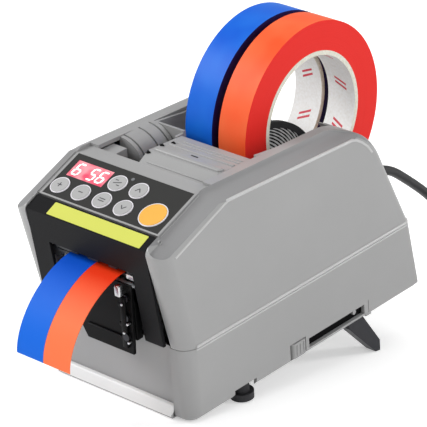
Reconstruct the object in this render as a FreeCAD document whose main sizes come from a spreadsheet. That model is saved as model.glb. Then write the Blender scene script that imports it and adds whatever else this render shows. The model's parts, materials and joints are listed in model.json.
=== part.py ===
"""Electric tape dispenser for two rolls of tape, standing on its fold-out rear legs.

The machine is drawn level, in its own frame: X across, Y from front to back with 0 at the middle of the base,
Z up from the lower edge of the base. At the end everything is turned about X by the angle that the rear legs
give it, so that its feet stand on Z = 0 with the origin under the middle of the machine. Millimetres.
"""
import FreeCAD
import Part
import Sketcher

import math
import os

from FreeCAD import Placement, Rotation, Vector

os.makedirs("parts", exist_ok=True)
doc = FreeCAD.newDocument("TapeDispenser")

# Driving sizes

sizes = {
    # casing
    "caseWidth": 116, "caseLength": 204, "baseHeight": 46, "wall": 2.5, "partingGap": 0.3,
    "floorBottom": 17, "floorThick": 2.5, "edgeRound": 9, "rearEdgeRound": 4, "rearLean": 8,
    "bottomChamfer": 3, "noseForward": 15, "headRoom": 24.5, "rimFrontBack": 33, "rimRise": 18,
    "rimFall": 6.5, "rimRearInset": 43.3, "shoulderInset": 11.7, "shoulderDrop": 6.3, "rearTopRound": 44,
    "noseRound": 5, "wingInset": 11.7, "wingWall": 2, "lipHeight": 9.5, "lipReach": 1.8, "lipInset": 13,
    "lipGround": 1.2, "lipRecess": 1.8, "lipBacking": 1.1,
    # control panel, lying on a slope between the two wings
    "panelInset": 13.7, "panelFrontBack": -1.8, "panelRise": 4.4, "panelLength": 33, "panelSlope": 20.8,
    "panelThick": 2, "saddleThick": 4.5, "saddleLip": 1.1, "saddleDrop": 1.7, "keyRadius": 5.3,
    "startKeyRadius": 8.1, "keyClearance": 0.3, "keyProud": 0.8, "keyDepth": 6, "keyEdge": 7.1,
    "startKeyEdge": 11.9, "startKeyGap": 20.7, "keyLowRow": 8.1, "keyHighRow": 22.3, "startKeyUp": 10.5,
    "displayEdge": 4.3, "displayGap": 2.6, "displayLow": 16.2, "displayHigh": 28.8, "lampRadius": 1.2,
    "boardThick": 1.6, "boardGap": 1.3, "switchHeight": 1.6,
    # well and what lies in it
    "wellInset": 18, "wellFrontBack": 40.5, "wellWall": 2, "wellFloorRise": 2, "wellFit": 0.4,
    "wellGap": 8.75, "rearSlotHalf": 27, "rearSlotRise": 20, "rearSlotAhead": 10, "postInset": 5.6,
    "rollRadius": 58.75, "coreRadius": 40.9, "coreBore": 38.1, "tapeWidth": 20.4, "rollGap": 5.2,
    "supportRearGap": 21.41, "supportFloorGap": 1.33, "supportRadius": 7, "supportShaftRadius": 3,
    "supportFrontAngle": 52, "supportRearAngle": 20, "restGap": 0.3, "runningFit": 0.05,
    "dividerRadius": 50.6, "dividerAhead": 22.6, "dividerBelow": 52.8, "dividerThick": 2,
    "dividerRim": 3.8, "dividerRimWidth": 4,
    # lid over the feed rollers, and the ribbed cheek beside it
    "lidCheekGap": 6, "lidThick": 2, "lidRidgeBack": 56, "lidFrontBack": 43.5, "lidRearDrop": 1.9,
    "lidRidgeDrop": 1.5, "lidFrontDrop": 9, "lidBarrel": 2.3, "lidPin": 1.2, "cheekRadius": 18,
    "cheekBehindEdge": 17.5, "cheekRearGap": 0.5, "cheekDrop": 0.6, "ribGroove": 1.3, "stepDrop": 13.3,
    "stepTop": 3.7, "stepLength": 12, "stepWidth": 10.5, "lowStepDrop": 17.3, "lowStepTop": 7.7,
    "lowStepWidth": 5,
    # feed mechanism
    "frameInset": 23.5, "frameThick": 1.5, "frameFrontBack": 3, "frameDepth": 38, "frameDrop": 13.4,
    "frameSlantRun": 16, "frameSlantDrop": 26, "tapeRise": 42.5, "tapeThick": 0.4, "nipBack": 12,
    "driveRadius": 7.5, "driveShaft": 2.5, "pressRadius": 6, "pressShaft": 2, "nipGap": 0.3,
    "rollerGap": 3.5, "toothModule": 1, "driveTeeth": 28, "pinionTeeth": 12, "gearWidth": 4, "gearGap": 2,
    "motorRadius": 11.2, "motorLength": 30, "motorShaft": 1.5, "outletTapeGap": 0.8,
    # cutter
    "bladeThick": 0.8, "bladeBack": 0.3, "bladeRest": 4.5, "bladeInset": 5.5, "bladeGap": 0.3,
    "solenoidWidth": 24, "solenoidDepth": 18, "solenoidHeight": 26, "plungerRadius": 3,
    # hinged front cover with the outlet
    "coverInset": 12.2, "coverThick": 2, "coverBottomInset": 5.3, "coverBottomRise": 2.8,
    "bendForward": 14, "bendDrop": 1, "bandTopForward": 3.9, "bandRise": 3.5, "coverPin": 1,
    "coverKnuckle": 1.5, "outletInset": 2.5, "outletRise": 5, "guardLeft": 12, "guardInset": 3,
    "guardTopDrop": 4.5, "guardHang": 4.5, "guardForward": 10, "guardFlare": 2, "guardCorner": 6,
    "stripReach": 53, "stripDrop": 42.5, "stripLevel": 5, "stripBow": 1.16,
    # feet and fold-out legs
    "footInset": 8, "rearFootInset": 22, "footFrontBack": 50.5, "footRearInset": 14, "footRadius": 7,
    "footStem": 4.5, "footDrop": 8.2, "footDome": 30, "footNotchHeight": 5.5, "legInset": 10.5,
    "legClear": 2.8, "legPivotInset": 61, "legPivotHeight": 8, "legHub": 5, "legPin": 1.5,
    "legFootInset": 40.8, "legFootDrop": 28.5, "legPad": 4.2, "legRootFront": 64, "legRootRear": 49,
    "legRootDrop": 3, "slotFrontInset": 103, "slotRearInset": 53, "slotLow": 4, "slotHigh": 10,
    "catchLength": 11.5, "catchGap": 2, "catchProud": 0.7,
    # rear wall
    "cordAcross": 0, "cordRise": 8.2, "cordRadius": 3, "reliefDip": 8, "reliefLength": 24,
    "reliefRadius": 5, "reliefFit": 0.1, "reliefBoss": 5.5, "reliefInside": 1, "rockerAcross": -28,
    "rockerRise": 11, "rockerPin": 1, "rockerWidth": 13, "rockerTall": 16, "screwHead": 2.4,
    "screwThick": 1.7, "coilAcross": 66, "plugLength": 24, "plugWidth": 24, "plugThick": 15.6,
    "plugTaper": 14, "plugBlade": 17,
}

sheet = doc.addObject("Spreadsheet::Sheet", "Sizes")
for row, (alias, number) in enumerate(sizes.items(), start=1):
    sheet.set(f"A{row}", alias)
    sheet.set(f"B{row}", str(number))
    sheet.setAlias(f"B{row}", alias)
doc.recompute()


class Length:
    """A number together with the expression that gives it from the sheet."""

    def __init__(self, number, text):
        self.number = number
        self.text = text

    def __float__(self):
        return float(self.number)

    def __add__(self, other):
        return Length(float(self) + float(other), f"({self.text} + {written(other)})")

    def __radd__(self, other):
        return Length(float(other) + float(self), f"({written(other)} + {self.text})")

    def __sub__(self, other):
        return Length(float(self) - float(other), f"({self.text} - {written(other)})")

    def __rsub__(self, other):
        return Length(float(other) - float(self), f"({written(other)} - {self.text})")

    def __mul__(self, other):
        return Length(float(self) * float(other), f"({self.text} * {written(other)})")

    def __rmul__(self, other):
        return self * other

    def __truediv__(self, other):
        return Length(float(self) / float(other), f"({self.text} / {written(other)})")

    def __neg__(self):
        return Length(-float(self), f"(-{self.text})")


def written(value):
    """The expression text of a length or of a plain number."""
    return value.text if isinstance(value, Length) else repr(float(value))


class Sheet:
    """Reads a size by its alias, as a Length bound to the sheet's cell."""

    def __getattr__(self, alias):
        return Length(float(sheet.get(alias)), f"Sizes.{alias}")


z = Sheet()


def sine(angle):
    return Length(math.sin(math.radians(float(angle))), f"sin({written(angle)} * 1 deg)")


def cosine(angle):
    return Length(math.cos(math.radians(float(angle))), f"cos({written(angle)} * 1 deg)")


# Building blocks, all bound to the sheet


def bind(thing, prop, value):
    """Ties a property to the sheet, or sets it where the value is a plain number."""
    if isinstance(value, Length):
        thing.setExpression(prop, value.text)
    elif prop.startswith("Placement.Base."):
        base = thing.Placement.Base
        setattr(base, prop[-1], float(value))
        thing.Placement = Placement(base, thing.Placement.Rotation)
    else:
        setattr(thing, prop, float(value))


def place(thing, at, rotation=None):
    if rotation is not None:
        thing.Placement = Placement(Vector(), rotation)
    for axis, value in zip("xyz", at):
        bind(thing, "Placement.Base." + axis, value)
    return thing


def box(x_range, y_range, z_range):
    """A block between two values on each axis."""
    block = doc.addObject("Part::Box", "Block")
    for prop, (low, high) in zip(("Length", "Width", "Height"), (x_range, y_range, z_range)):
        bind(block, prop, high - low)
    return place(block, (x_range[0], y_range[0], z_range[0]))


turn_to = {
    "x": Rotation(Vector(0, 1, 0), 90),
    "y": Rotation(Vector(1, 0, 0), -90),
    "z": Rotation(),
}


def rod(axis, radius, start, end, across):
    """A round bar along an axis from start to end; across gives the other two coordinates, in X, Y, Z order."""
    bar = doc.addObject("Part::Cylinder", "Bar")
    bind(bar, "Radius", radius)
    bind(bar, "Height", end - start)
    at = list(across)
    at.insert("xyz".index(axis), start)
    return place(bar, at, turn_to[axis])


sketch_planes = {
    "yz": Rotation(Vector(1, 1, 1), 120),
    "xy": Rotation(),
    "xz": Rotation(Vector(1, 0, 0), 90),
}


def outline(points, plane):
    """A closed sketch through the points, in a plane named by its two axes."""
    drawing = doc.addObject("Sketcher::SketchObject", "Outline")
    drawing.Placement = Placement(Vector(), sketch_planes[plane])
    flat = [Vector(float(a), float(b), 0) for a, b in points]
    for here, there in zip(flat, flat[1:] + flat[:1]):
        drawing.addGeometry(Part.LineSegment(here, there))
    count = len(flat)
    for i in range(count):
        drawing.addConstraint(Sketcher.Constraint("Coincident", i, 2, (i + 1) % count, 1))
    for i, (a, b) in enumerate(points):
        for kind, value in (("DistanceX", a), ("DistanceY", b)):
            index = drawing.addConstraint(Sketcher.Constraint(kind, -1, 1, i, 1, float(value)))
            if isinstance(value, Length):
                drawing.setExpression(f"Constraints[{index}]", value.text)
    return drawing


def extruded(drawing, length):
    solid = doc.addObject("Part::Extrusion", "Solid")
    solid.Base = drawing
    solid.DirMode = "Normal"
    solid.Solid = True
    bind(solid, "LengthFwd", length)
    return solid


def prism(points, x_range):
    """A profile in Y and Z, extruded along X."""
    drawing = outline(points, "yz")
    bind(drawing, "Placement.Base.x", x_range[0])
    return extruded(drawing, x_range[1] - x_range[0])


def sheet_cutout(points, y_range):
    """A shape in X and Z, extruded along Y."""
    drawing = outline(points, "xz")
    bind(drawing, "Placement.Base.y", y_range[1])
    return extruded(drawing, y_range[1] - y_range[0])


def fuse(*things):
    joined = doc.addObject("Part::MultiFuse", "Joined")
    joined.Shapes = list(things)
    return joined


def cut(base, *tools):
    carved = doc.addObject("Part::Cut", "Carved")
    carved.Base = base
    carved.Tool = tools[0] if len(tools) == 1 else fuse(*tools)
    return carved


def shared(first, second):
    both = doc.addObject("Part::Common", "Shared")
    both.Base = first
    both.Tool = second
    return both


def group(*things):
    """Separate solids that make one sub-part."""
    several = doc.addObject("Part::Compound", "Group")
    several.Links = list(things)
    return several


def softened(base, radius, pick, kind="Part::Fillet"):
    """Rounds or bevels the edges that pick chooses by an edge's middle and direction."""
    doc.recompute()
    chosen = []
    for index, edge in enumerate(base.Shape.Edges, start=1):
        if edge.Degenerated:
            continue
        middle = edge.valueAt((edge.FirstParameter + edge.LastParameter) / 2)
        along = edge.tangentAt((edge.FirstParameter + edge.LastParameter) / 2)
        if pick(middle, along):
            chosen.append((index, float(radius), float(radius)))
    smooth = doc.addObject(kind, "Softened")
    smooth.Base = base
    smooth.Edges = chosen
    return smooth


def free_shape(shape):
    """A sub-part whose form has no feature of its own, such as a gear or a bent strip."""
    thing = doc.addObject("Part::Feature", "Form")
    thing.Shape = shape
    return thing


def near(value, target, slack=0.05):
    return abs(float(value) - float(target)) < slack


def both_sides(make):
    """The same piece on the left and on the right, from a function of the side's sign."""
    return make(-1), make(1)


def span(sign, inner, outer):
    """The X range from inner to outer on one side of the machine."""
    return (inner, outer) if sign > 0 else (-outer, -inner)


nodes = {}
loose = set()


def node(name, thing, in_machine=True):
    """Names a finished sub-part. What isn't in the machine is drawn where it lies and stays untilted.

    A plain block or bar keeps its bound place inside a group, so that the whole can be turned later.
    """
    if any("Placement" in prop for prop, text in thing.ExpressionEngine):
        thing = group(thing)
    thing.Label = name
    nodes[name] = thing
    if not in_machine:
        loose.add(name)
    return thing


# Places that several pieces share

half = z.caseWidth / 2
front = -z.caseLength / 2
rear = z.caseLength / 2
tape_plane = z.baseHeight + z.tapeRise
nose_z = tape_plane + z.headRoom
rim_front_z = nose_z + z.rimRise
rim_rear_z = rim_front_z - z.rimFall
wing_inner = half - z.wingInset
lip_half = half - z.lipInset
well_half = half - z.wellInset
well_floor = z.baseHeight + z.wellFloorRise
rear_slot_z = z.baseHeight + z.rearSlotRise
frame_inner = half - z.frameInset
outlet_half = frame_inner - z.outletInset
leg_inner = half - z.legInset
leg_outer = half - z.legClear
foot_across = half - z.footInset
floor_top = z.floorBottom + z.floorThick
upper_low = z.baseHeight + z.partingGap
rear_at_top = rear - z.rearLean
rear_slant = (rear_at_top - (rear - z.rimRearInset)) / (rim_rear_z - z.baseHeight)
support_reach = z.rollRadius + z.supportRadius + z.restGap
roll_y = rear - z.supportRearGap - z.supportRadius - support_reach * sine(z.supportRearAngle)
roll_z = (well_floor + z.wellWall + z.supportFloorGap + z.supportRadius
          + support_reach * cosine(z.supportRearAngle))
tray_front = roll_y - z.rollRadius - z.wellGap
nip_y = front + z.nipBack
nose_y = front - z.noseForward


def rear_wall(height):
    """Y of the upper casing's rear face at a height."""
    return rear_at_top - (height - z.baseHeight) * rear_slant


def rim_height(y):
    """Height of the rim's top line at a place between its front and rear corners."""
    fall = z.rimFall / ((rear - z.rimRearInset) - (front + z.rimFrontBack))
    return rim_front_z - (y - (front + z.rimFrontBack)) * fall


board_low = floor_top + 5
board_x = (2, half - 16)
board_y = (rear - 84, rear - 38)
board_post_places = [(x, y) for x in (board_x[0] + 4, board_x[1] - 4) for y in (board_y[0] + 4, board_y[1] - 4)]
base_lean = math.degrees(math.atan(float(z.rearLean / z.baseHeight)))
base_rear_turn = Rotation(Vector(1, 0, 0), base_lean)
lean_run, lean_rise = math.cos(math.radians(base_lean)), math.sin(math.radians(base_lean))
rocker_z = floor_top + z.rockerRise


def rocker_line(out):
    """Y and Z on the line square to the base's rear wall through the middle of the power switch."""
    wall_y = rear - z.rearLean / z.baseHeight * rocker_z
    return wall_y + out * lean_run, rocker_z + out * lean_rise


def base_rear_box(width, out_range, tall):
    """A block for the power switch, square on the base's leaning rear wall."""
    block = doc.addObject("Part::Box", "Block")
    bind(block, "Length", width)
    bind(block, "Width", out_range[1] - out_range[0])
    bind(block, "Height", tall)
    y, height = rocker_line(out_range[0])
    at = (z.rockerAcross - width / 2, y + tall / 2 * lean_rise, height - tall / 2 * lean_run)
    return place(block, at, base_rear_turn)


# Base tray


def base_block(inset, low, high):
    """The base's outer form, or the same form moved inwards for its hollow."""
    slope = z.rearLean / z.baseHeight
    points = [
        (front + inset, low), (front + inset, high),
        (rear - inset - slope * high, high), (rear - inset - slope * low, low),
    ]
    block = prism(points, (-half + inset, half - inset))
    for radius, end in ((z.edgeRound, -1), (z.rearEdgeRound, 1)):
        block = softened(block, radius - inset,
                         lambda p, t: abs(t.x) < 0.1 and abs(t.z) > 0.9 and end * p.y > 0)
    return block


slot_front = rear - z.slotFrontInset
slot_rear = rear - z.slotRearInset
channel_rear = rear - z.legRootRear + 3
leg_y = rear - z.legPivotInset
leg_z = z.legPivotHeight
foot_front = front + z.footFrontBack
foot_rear = rear - z.footRearInset
foot_top = 5


def foot_pair(y):
    """Where the two feet of a row stand across the machine: the rear ones are closer together."""
    across = half - z.rearFootInset if y is foot_rear else foot_across
    return -across, across


catch_rear = slot_front - 3
catch_front = catch_rear - z.catchLength

base_shell = cut(
    softened(
        base_block(0, 0, z.baseHeight), z.bottomChamfer,
        lambda p, t: near(p.z, 0) and near(p.y, front) and abs(t.x) > 0.9, "Part::Chamfer",
    ),
    base_block(z.wall, floor_top, z.baseHeight + 1),
    base_block(z.wall, -1, z.floorBottom),
)
webs = both_sides(lambda s: box(span(s, leg_inner - 2, leg_inner - 0.3), (catch_front - 3, channel_rear),
                                (0, z.floorBottom + 1)))
stop_front = rear - z.legRootRear - 1.5
leg_stops = both_sides(lambda s: box(span(s, leg_inner - 1, half - 1), (stop_front, channel_rear),
                                     (0.5, z.floorBottom + 1)))
catch_rails = both_sides(lambda s: box(span(s, leg_inner - 1, half - z.wall - 2),
                                       (catch_front - 3.6, catch_front - 1.8), (2, z.floorBottom + 1)))
foot_bosses = [
    rod("z", z.footRadius, foot_top, z.floorBottom + 1, (across, y))
    for y in (foot_front, foot_rear)
    for across in foot_pair(y)
]
lip = prism(
    [(front + z.lipRecess + 0.1, z.lipHeight), (front - z.lipReach, z.lipGround + 2),
     (front - z.lipReach, z.lipGround), (front + z.lipRecess + 0.1, z.lipGround)],
    (-lip_half, lip_half),
)
front_recess = box((-lip_half, lip_half), (front - 1, front + z.lipRecess), (z.lipGround, z.baseHeight + 1))
foot_notches = both_sides(lambda s: box(span(s, half - z.wall - 3, half + 1),
                                        (foot_front - 14, foot_front + 4.5), (-1, z.footNotchHeight)))
leg_slots = both_sides(lambda s: box(span(s, half - z.wall - 0.5, half + 1), (slot_front, slot_rear),
                                     (z.slotLow, z.slotHigh)))
catch_openings = both_sides(lambda s: box(span(s, half - z.wall - 0.5, half + 1),
                                          (catch_front - z.catchGap, catch_rear + 0.4), (2.4, 12.6)))
seams = both_sides(lambda s: box(span(s, half - 0.6, half + 1), (slot_rear + 3.6, slot_rear + 4), (2, 11.4)))
leg_pins = both_sides(lambda s: rod("x", z.legPin, *span(s, leg_inner - 1, half - 1), (leg_y, leg_z)))
front_backing = box((-lip_half, lip_half), (front + z.lipRecess, front + z.lipRecess + z.lipBacking),
                    (z.lipGround, z.baseHeight))
board_posts = [rod("z", 2.5, z.floorBottom + 1, board_low, place_of) for place_of in board_post_places]
node("base_tray", cut(
    fuse(
        cut(fuse(cut(base_shell, front_recess), lip, front_backing, *webs, *leg_stops, *catch_rails,
                 *foot_bosses, *board_posts),
            *foot_notches, *leg_slots, *catch_openings, *seams),
        *leg_pins,
    ),
    base_rear_box(z.rockerWidth + 2, (-6, 3), z.rockerTall + 2),
))

# Upper cover


def shoulder_cut(side, low_end, high_end, inset):
    """What lies above the sloping shoulder along one line of the casing's profile."""
    run, rise = float(high_end[0] - low_end[0]), float(high_end[1] - low_end[1])
    along = math.atan2(rise, run)
    beyond, above = 60, 12
    inner = half - z.shoulderInset - inset / 4
    outer = half + 2
    fall = z.shoulderDrop / z.shoulderInset
    section = outline([(inner * side, 0), (outer * side, -fall * (outer - inner)),
                       (outer * side, above), (inner * side, above)], "xz")
    lying = Rotation(Vector(1, 0, 0), math.degrees(along)).multiply(sketch_planes["xz"])
    section.Placement = Placement(Vector(), lying)
    bind(section, "Placement.Base.y", high_end[0] + beyond * math.cos(along))
    bind(section, "Placement.Base.z", high_end[1] + beyond * math.sin(along))
    return extruded(section, math.hypot(run, rise) + 2 * beyond)


def cover_form(inset):
    """The upper casing's outer form with its sloping shoulders, or the same form moved inwards."""
    low = upper_low - (inset if float(inset) else 0)
    points = [
        (front + inset, low),
        (nose_y + inset * 1.25, nose_z - inset * 0.5),
        (front + z.rimFrontBack + inset * 0.2, rim_front_z - inset),
        (rear - z.rimRearInset - inset * 0.7, rim_rear_z - inset),
        (rear_wall(low) - inset * 1.1, low),
    ]
    block = prism(points, (-half + inset, half - inset))

    def corner(y, height):
        return lambda p, t: abs(t.x) > 0.9 and near(p.y, y) and near(p.z, height)

    for (y, height), radius in ((points[1], z.noseRound), (points[3], z.rearTopRound - inset)):
        block = softened(block, radius, corner(y, height))

    def side_edge(p, t):
        return near(abs(p.x), half - inset) and abs(t.x) < 0.1 and float(p.z) > float(low) + 0.01

    rim_front_y = float(points[2][0])
    block = softened(block, z.edgeRound - inset, lambda p, t: side_edge(p, t) and p.y < rim_front_y)
    block = softened(block, z.rearEdgeRound - inset, lambda p, t: side_edge(p, t) and p.y > rim_front_y)
    slopes = ((points[1], points[2]), (points[2], points[3]))
    return cut(block, *[shoulder_cut(side, *ends, inset) for side in (-1, 1) for ends in slopes])


outer_form = cover_form(0)
inner_form = cover_form(z.wall)
wing_plates = both_sides(lambda s: shared(
    outer_form, box(span(s, wing_inner, wing_inner + z.wingWall), (nose_y - 5, front + z.wellFrontBack + 4),
                    (upper_low, rim_front_z + 5))))
slope_run = cosine(z.panelSlope)
slope_rise = sine(z.panelSlope)
panel_y = front + z.panelFrontBack
panel_z = nose_z + z.panelRise
panel_half = half - z.panelInset
panel_turn = Rotation(Vector(1, 0, 0), float(z.panelSlope))


def on_slope(across, up, lift):
    """A point given in the panel's own frame: across, up the slope from its front edge, and above its face."""
    return across, panel_y + up * slope_run - lift * slope_rise, panel_z + up * slope_rise + lift * slope_run


def height_over_panel(point):
    """How far a finished point lies above the panel's face."""
    normal = Vector(0, -float(slope_rise), float(slope_run))
    return (point - Vector(0, float(panel_y), float(panel_z))).dot(normal)


def slope_box(x_range, up_range, lift_range):
    block = doc.addObject("Part::Box", "Block")
    for prop, (low, high) in zip(("Length", "Width", "Height"), (x_range, up_range, lift_range)):
        bind(block, prop, high - low)
    return place(block, on_slope(x_range[0], up_range[0], lift_range[0]), panel_turn)


def slope_rod(radius, across, up, lift_range):
    bar = doc.addObject("Part::Cylinder", "Bar")
    bind(bar, "Radius", radius)
    bind(bar, "Height", lift_range[1] - lift_range[0])
    return place(bar, on_slope(across, up, lift_range[0]), panel_turn)


well_y = front + z.wellFrontBack
saddle_rear_z = rim_height(well_y) - z.saddleDrop
saddle_front = panel_y - z.saddleLip * slope_run
saddle_front_z = panel_z - z.saddleLip * slope_rise
panel_rear = on_slope(0, z.panelLength, 0)
saddle = prism(
    [(saddle_front, saddle_front_z), (panel_rear[1], panel_rear[2]), (well_y, saddle_rear_z),
     (well_y, saddle_rear_z - z.saddleThick), (panel_rear[1], panel_rear[2] - z.saddleThick),
     (panel_y + 0.5, panel_z - z.saddleThick)],
    (-wing_inner - 1, wing_inner + 1),
)
board_lift = -(z.keyDepth + z.boardGap + z.switchHeight)
post_places = [(s * (panel_half - 4), up) for s in (-1, 1) for up in (3, 30)]
panel_posts = [slope_rod(1.8, across, up, (board_lift, -z.saddleThick + 0.5)) for across, up in post_places]
panel_seat = slope_box((-panel_half, panel_half), (0, z.panelLength), (-z.panelThick, 8))
key_first = panel_half - z.keyEdge
start_across = panel_half - z.startKeyEdge
key_pitch = (key_first + start_across - z.startKeyGap) / 3
display_left = panel_half - z.displayEdge
display_right = key_first - 2 * key_pitch + z.keyRadius + z.displayGap
keys = {
    "key_plus": (-key_first, z.keyLowRow, z.keyRadius),
    "key_minus": (-key_first + key_pitch, z.keyLowRow, z.keyRadius),
    "key_mode": (-key_first + 2 * key_pitch, z.keyLowRow, z.keyRadius),
    "key_down": (-key_first + 3 * key_pitch, z.keyLowRow, z.keyRadius),
    "key_set": (-key_first + 2 * key_pitch, z.keyHighRow, z.keyRadius),
    "key_up": (-key_first + 3 * key_pitch, z.keyHighRow, z.keyRadius),
    "key_start": (start_across, z.startKeyUp, z.startKeyRadius),
}


def key_holes():
    return [slope_rod(radius + z.keyClearance, across, up, (-20, 3)) for across, up, radius in keys.values()]


def display_hole(margin):
    return slope_box((-display_left - margin, -display_right + margin),
                     (z.displayLow - margin, z.displayHigh + margin), (-20, 3))


lamp_across = -key_first + 2.4 * key_pitch
lamp_up = z.displayHigh - 0.5


def rear_slot():
    """The opening above the rolls that runs out through the rear."""
    return box((-z.rearSlotHalf, z.rearSlotHalf), (roll_y - z.rearSlotAhead, rear + 10),
               (rear_slot_z, rim_front_z + 5))


well_opening = box((-well_half, well_half), (well_y, rear - 46), (well_floor + 20, rim_front_z + 5))
cheek_y = well_y + z.cheekBehindEdge
cheek_length = tray_front - z.cheekRearGap - cheek_y
cheek_top = rim_height(cheek_y) - z.cheekDrop
cheek_axis = (-well_half + 0.1, cheek_top - z.cheekRadius)
cheek = cut(
    shared(rod("y", z.cheekRadius, cheek_y, cheek_y + cheek_length, cheek_axis),
           box((-well_half - 0.5, 0), (cheek_y, cheek_y + cheek_length),
               (cheek_axis[1], cheek_top + 1))),
    *[cut(rod("y", z.cheekRadius + 1, groove, groove + z.ribGroove, cheek_axis),
          rod("y", z.cheekRadius - z.ribGroove, groove - 1, groove + z.ribGroove + 1, cheek_axis))
      for groove in (cheek_y + 2.5, cheek_y + 14.5, cheek_y + 23)],
)
cheek_step = fuse(
    box((-well_half - 0.5, -well_half + z.stepWidth), (well_y - 0.5, well_y + z.stepLength),
        (cheek_top - z.stepDrop, rim_height(well_y) - z.stepTop)),
    box((-well_half - 0.5, -well_half + z.lowStepWidth), (well_y - 0.5, cheek_y + 0.5),
        (cheek_top - z.lowStepDrop, rim_height(well_y) - z.lowStepTop)),
)
cord_z = z.baseHeight + z.cordRise
relief_run = cosine(z.reliefDip)
relief_fall = sine(z.reliefDip)
relief_turn = Rotation(Vector(1, 0, 0), -float(z.reliefDip)).multiply(turn_to["y"])


def on_relief(out):
    """A point on the axis of the cord's strain relief, at a distance out from the rear wall."""
    return z.cordAcross, rear_wall(cord_z) + out * relief_run, cord_z - out * relief_fall


def relief_cone(out_range, radii):
    """A cone on that axis; equal radii make a bar."""
    start_radius, end_radius = radii
    same = float(start_radius) == float(end_radius)
    piece = doc.addObject("Part::Cylinder" if same else "Part::Cone", "Turned")
    for prop, radius in zip(("Radius",) if same else ("Radius1", "Radius2"), radii):
        bind(piece, prop, radius)
    bind(piece, "Height", out_range[1] - out_range[0])
    return place(piece, on_relief(out_range[0]), relief_turn)


band_z = nose_z + z.bandRise
cover_pin_y = front - z.bandTopForward - 0.7
cover_pin_z = band_z - 1.9
upper_body = cut(
    fuse(cut(outer_form, inner_form), *wing_plates),
    box((-wing_inner, wing_inner), (nose_y - 5, well_y), (upper_low - 1, rim_front_z + 5)),
)
node("upper_cover", cut(
    fuse(cut(fuse(upper_body, saddle), panel_seat, well_opening), cheek, cheek_step, *panel_posts,
         relief_cone((-1.5, z.reliefBoss), (z.reliefRadius + 1.6, z.reliefRadius + 1.6))),
    rear_slot(), *key_holes(), display_hole(1),
    slope_rod(z.lampRadius + 0.3, lamp_across, lamp_up, (-20, 3)),
    rod("x", z.coverPin + z.runningFit, -wing_inner - z.wingWall - 1, wing_inner + z.wingWall + 1,
        (cover_pin_y, cover_pin_z)),
    relief_cone((-8, z.reliefBoss + 1), (z.reliefRadius, z.reliefRadius)),
))

# Control panel, keys, display and their board

node("control_panel", cut(
    slope_box((-panel_half + 0.1, panel_half - 0.1), (0.1, z.panelLength - 0.1), (-z.panelThick, 0)),
    *key_holes(), display_hole(0), slope_rod(z.lampRadius, lamp_across, lamp_up, (-3, 3)),
))
for name, (across, up, radius) in keys.items():
    shaft = slope_rod(radius, across, up, (-z.keyDepth, z.keyProud))
    node(name, softened(shaft, 0.4, lambda p, t: near(height_over_panel(p), z.keyProud)))
node("display_window", slope_box((-display_left + 0.1, -display_right - 0.1),
                                 (z.displayLow + 0.1, z.displayHigh - 0.1), (-1.2, -0.1)))
node("display_module", slope_box((-display_left, -display_right), (z.displayLow, z.displayHigh),
                                 (board_lift, -1.5)))
node("indicator_lamp", slope_rod(z.lampRadius - 0.1, lamp_across, lamp_up, (board_lift, 0.2)))
node("control_board", slope_box((-panel_half + 1, panel_half - 1), (1, z.panelLength - 1),
                                (board_lift - z.boardThick, board_lift)))
node("key_switches", group(*[
    slope_box((across - 3, across + 3), (up - 3, up + 3), (board_lift, board_lift + z.switchHeight))
    for across, up, radius in keys.values()]))

# Front cover: an inverted U with a bend near its top, hinged at its top edge

bend_z = nose_z - z.bendDrop
cover_half = half - z.coverInset
cover_bottom = z.baseHeight + z.coverBottomRise
outlet_top = tape_plane + z.outletRise
bend_y = front - z.bendForward
bottom_y = front - z.coverBottomInset
band_y = front - z.bandTopForward
cover_plate = prism(
    [(bottom_y, cover_bottom), (bend_y, bend_z), (band_y, band_z),
     (band_y + 0.8, band_z - z.coverThick), (bend_y + z.coverThick, bend_z - z.coverThick + 0.6),
     (bottom_y + z.coverThick, cover_bottom)],
    (-cover_half, cover_half),
)
node("front_cover", fuse(
    cut(cover_plate, box((-outlet_half, outlet_half), (bend_y - 5, front + 5), (cover_bottom - 1, outlet_top))),
    rod("x", z.coverKnuckle, -cover_half, cover_half, (cover_pin_y, cover_pin_z)),
    rod("x", z.coverPin, -wing_inner - z.wingWall + 0.3, wing_inner + z.wingWall - 0.3,
        (cover_pin_y, cover_pin_z)),
))

# Rolls of tape, the rollers that they lie on and the fin between them

inner_face = z.rollGap / 2
outer_face = inner_face + z.tapeWidth


def ring(x_range, outer, inner, across):
    return cut(rod("x", outer, x_range[0], x_range[1], across),
               rod("x", inner, x_range[0] - 1, x_range[1] + 1, across))


for name, sign in (("blue", -1), ("orange", 1)):
    faces = span(sign, inner_face, outer_face)
    node(f"tape_{name}", ring(faces, z.rollRadius, z.coreRadius, (roll_y, roll_z)))
    node(f"core_{name}", ring(faces, z.coreRadius, z.coreBore, (roll_y, roll_z)))

support_front = (roll_y - support_reach * sine(z.supportFrontAngle),
                 roll_z - support_reach * cosine(z.supportFrontAngle))
support_rear = (roll_y + support_reach * sine(z.supportRearAngle),
                roll_z - support_reach * cosine(z.supportRearAngle))
well_in = well_half - z.wellFit - z.wellWall
for name, centre in (("front", support_front), ("rear", support_rear)):
    node(f"support_roller_{name}", ring((-well_in + 0.5, well_in - 0.5), z.supportRadius,
                                        z.supportShaftRadius + z.runningFit, centre))
node("support_shafts", group(*[
    rod("x", z.supportShaftRadius, -well_in - z.wellWall + 0.2, well_in + z.wellWall - 0.2, centre)
    for centre in (support_front, support_rear)]))

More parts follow.
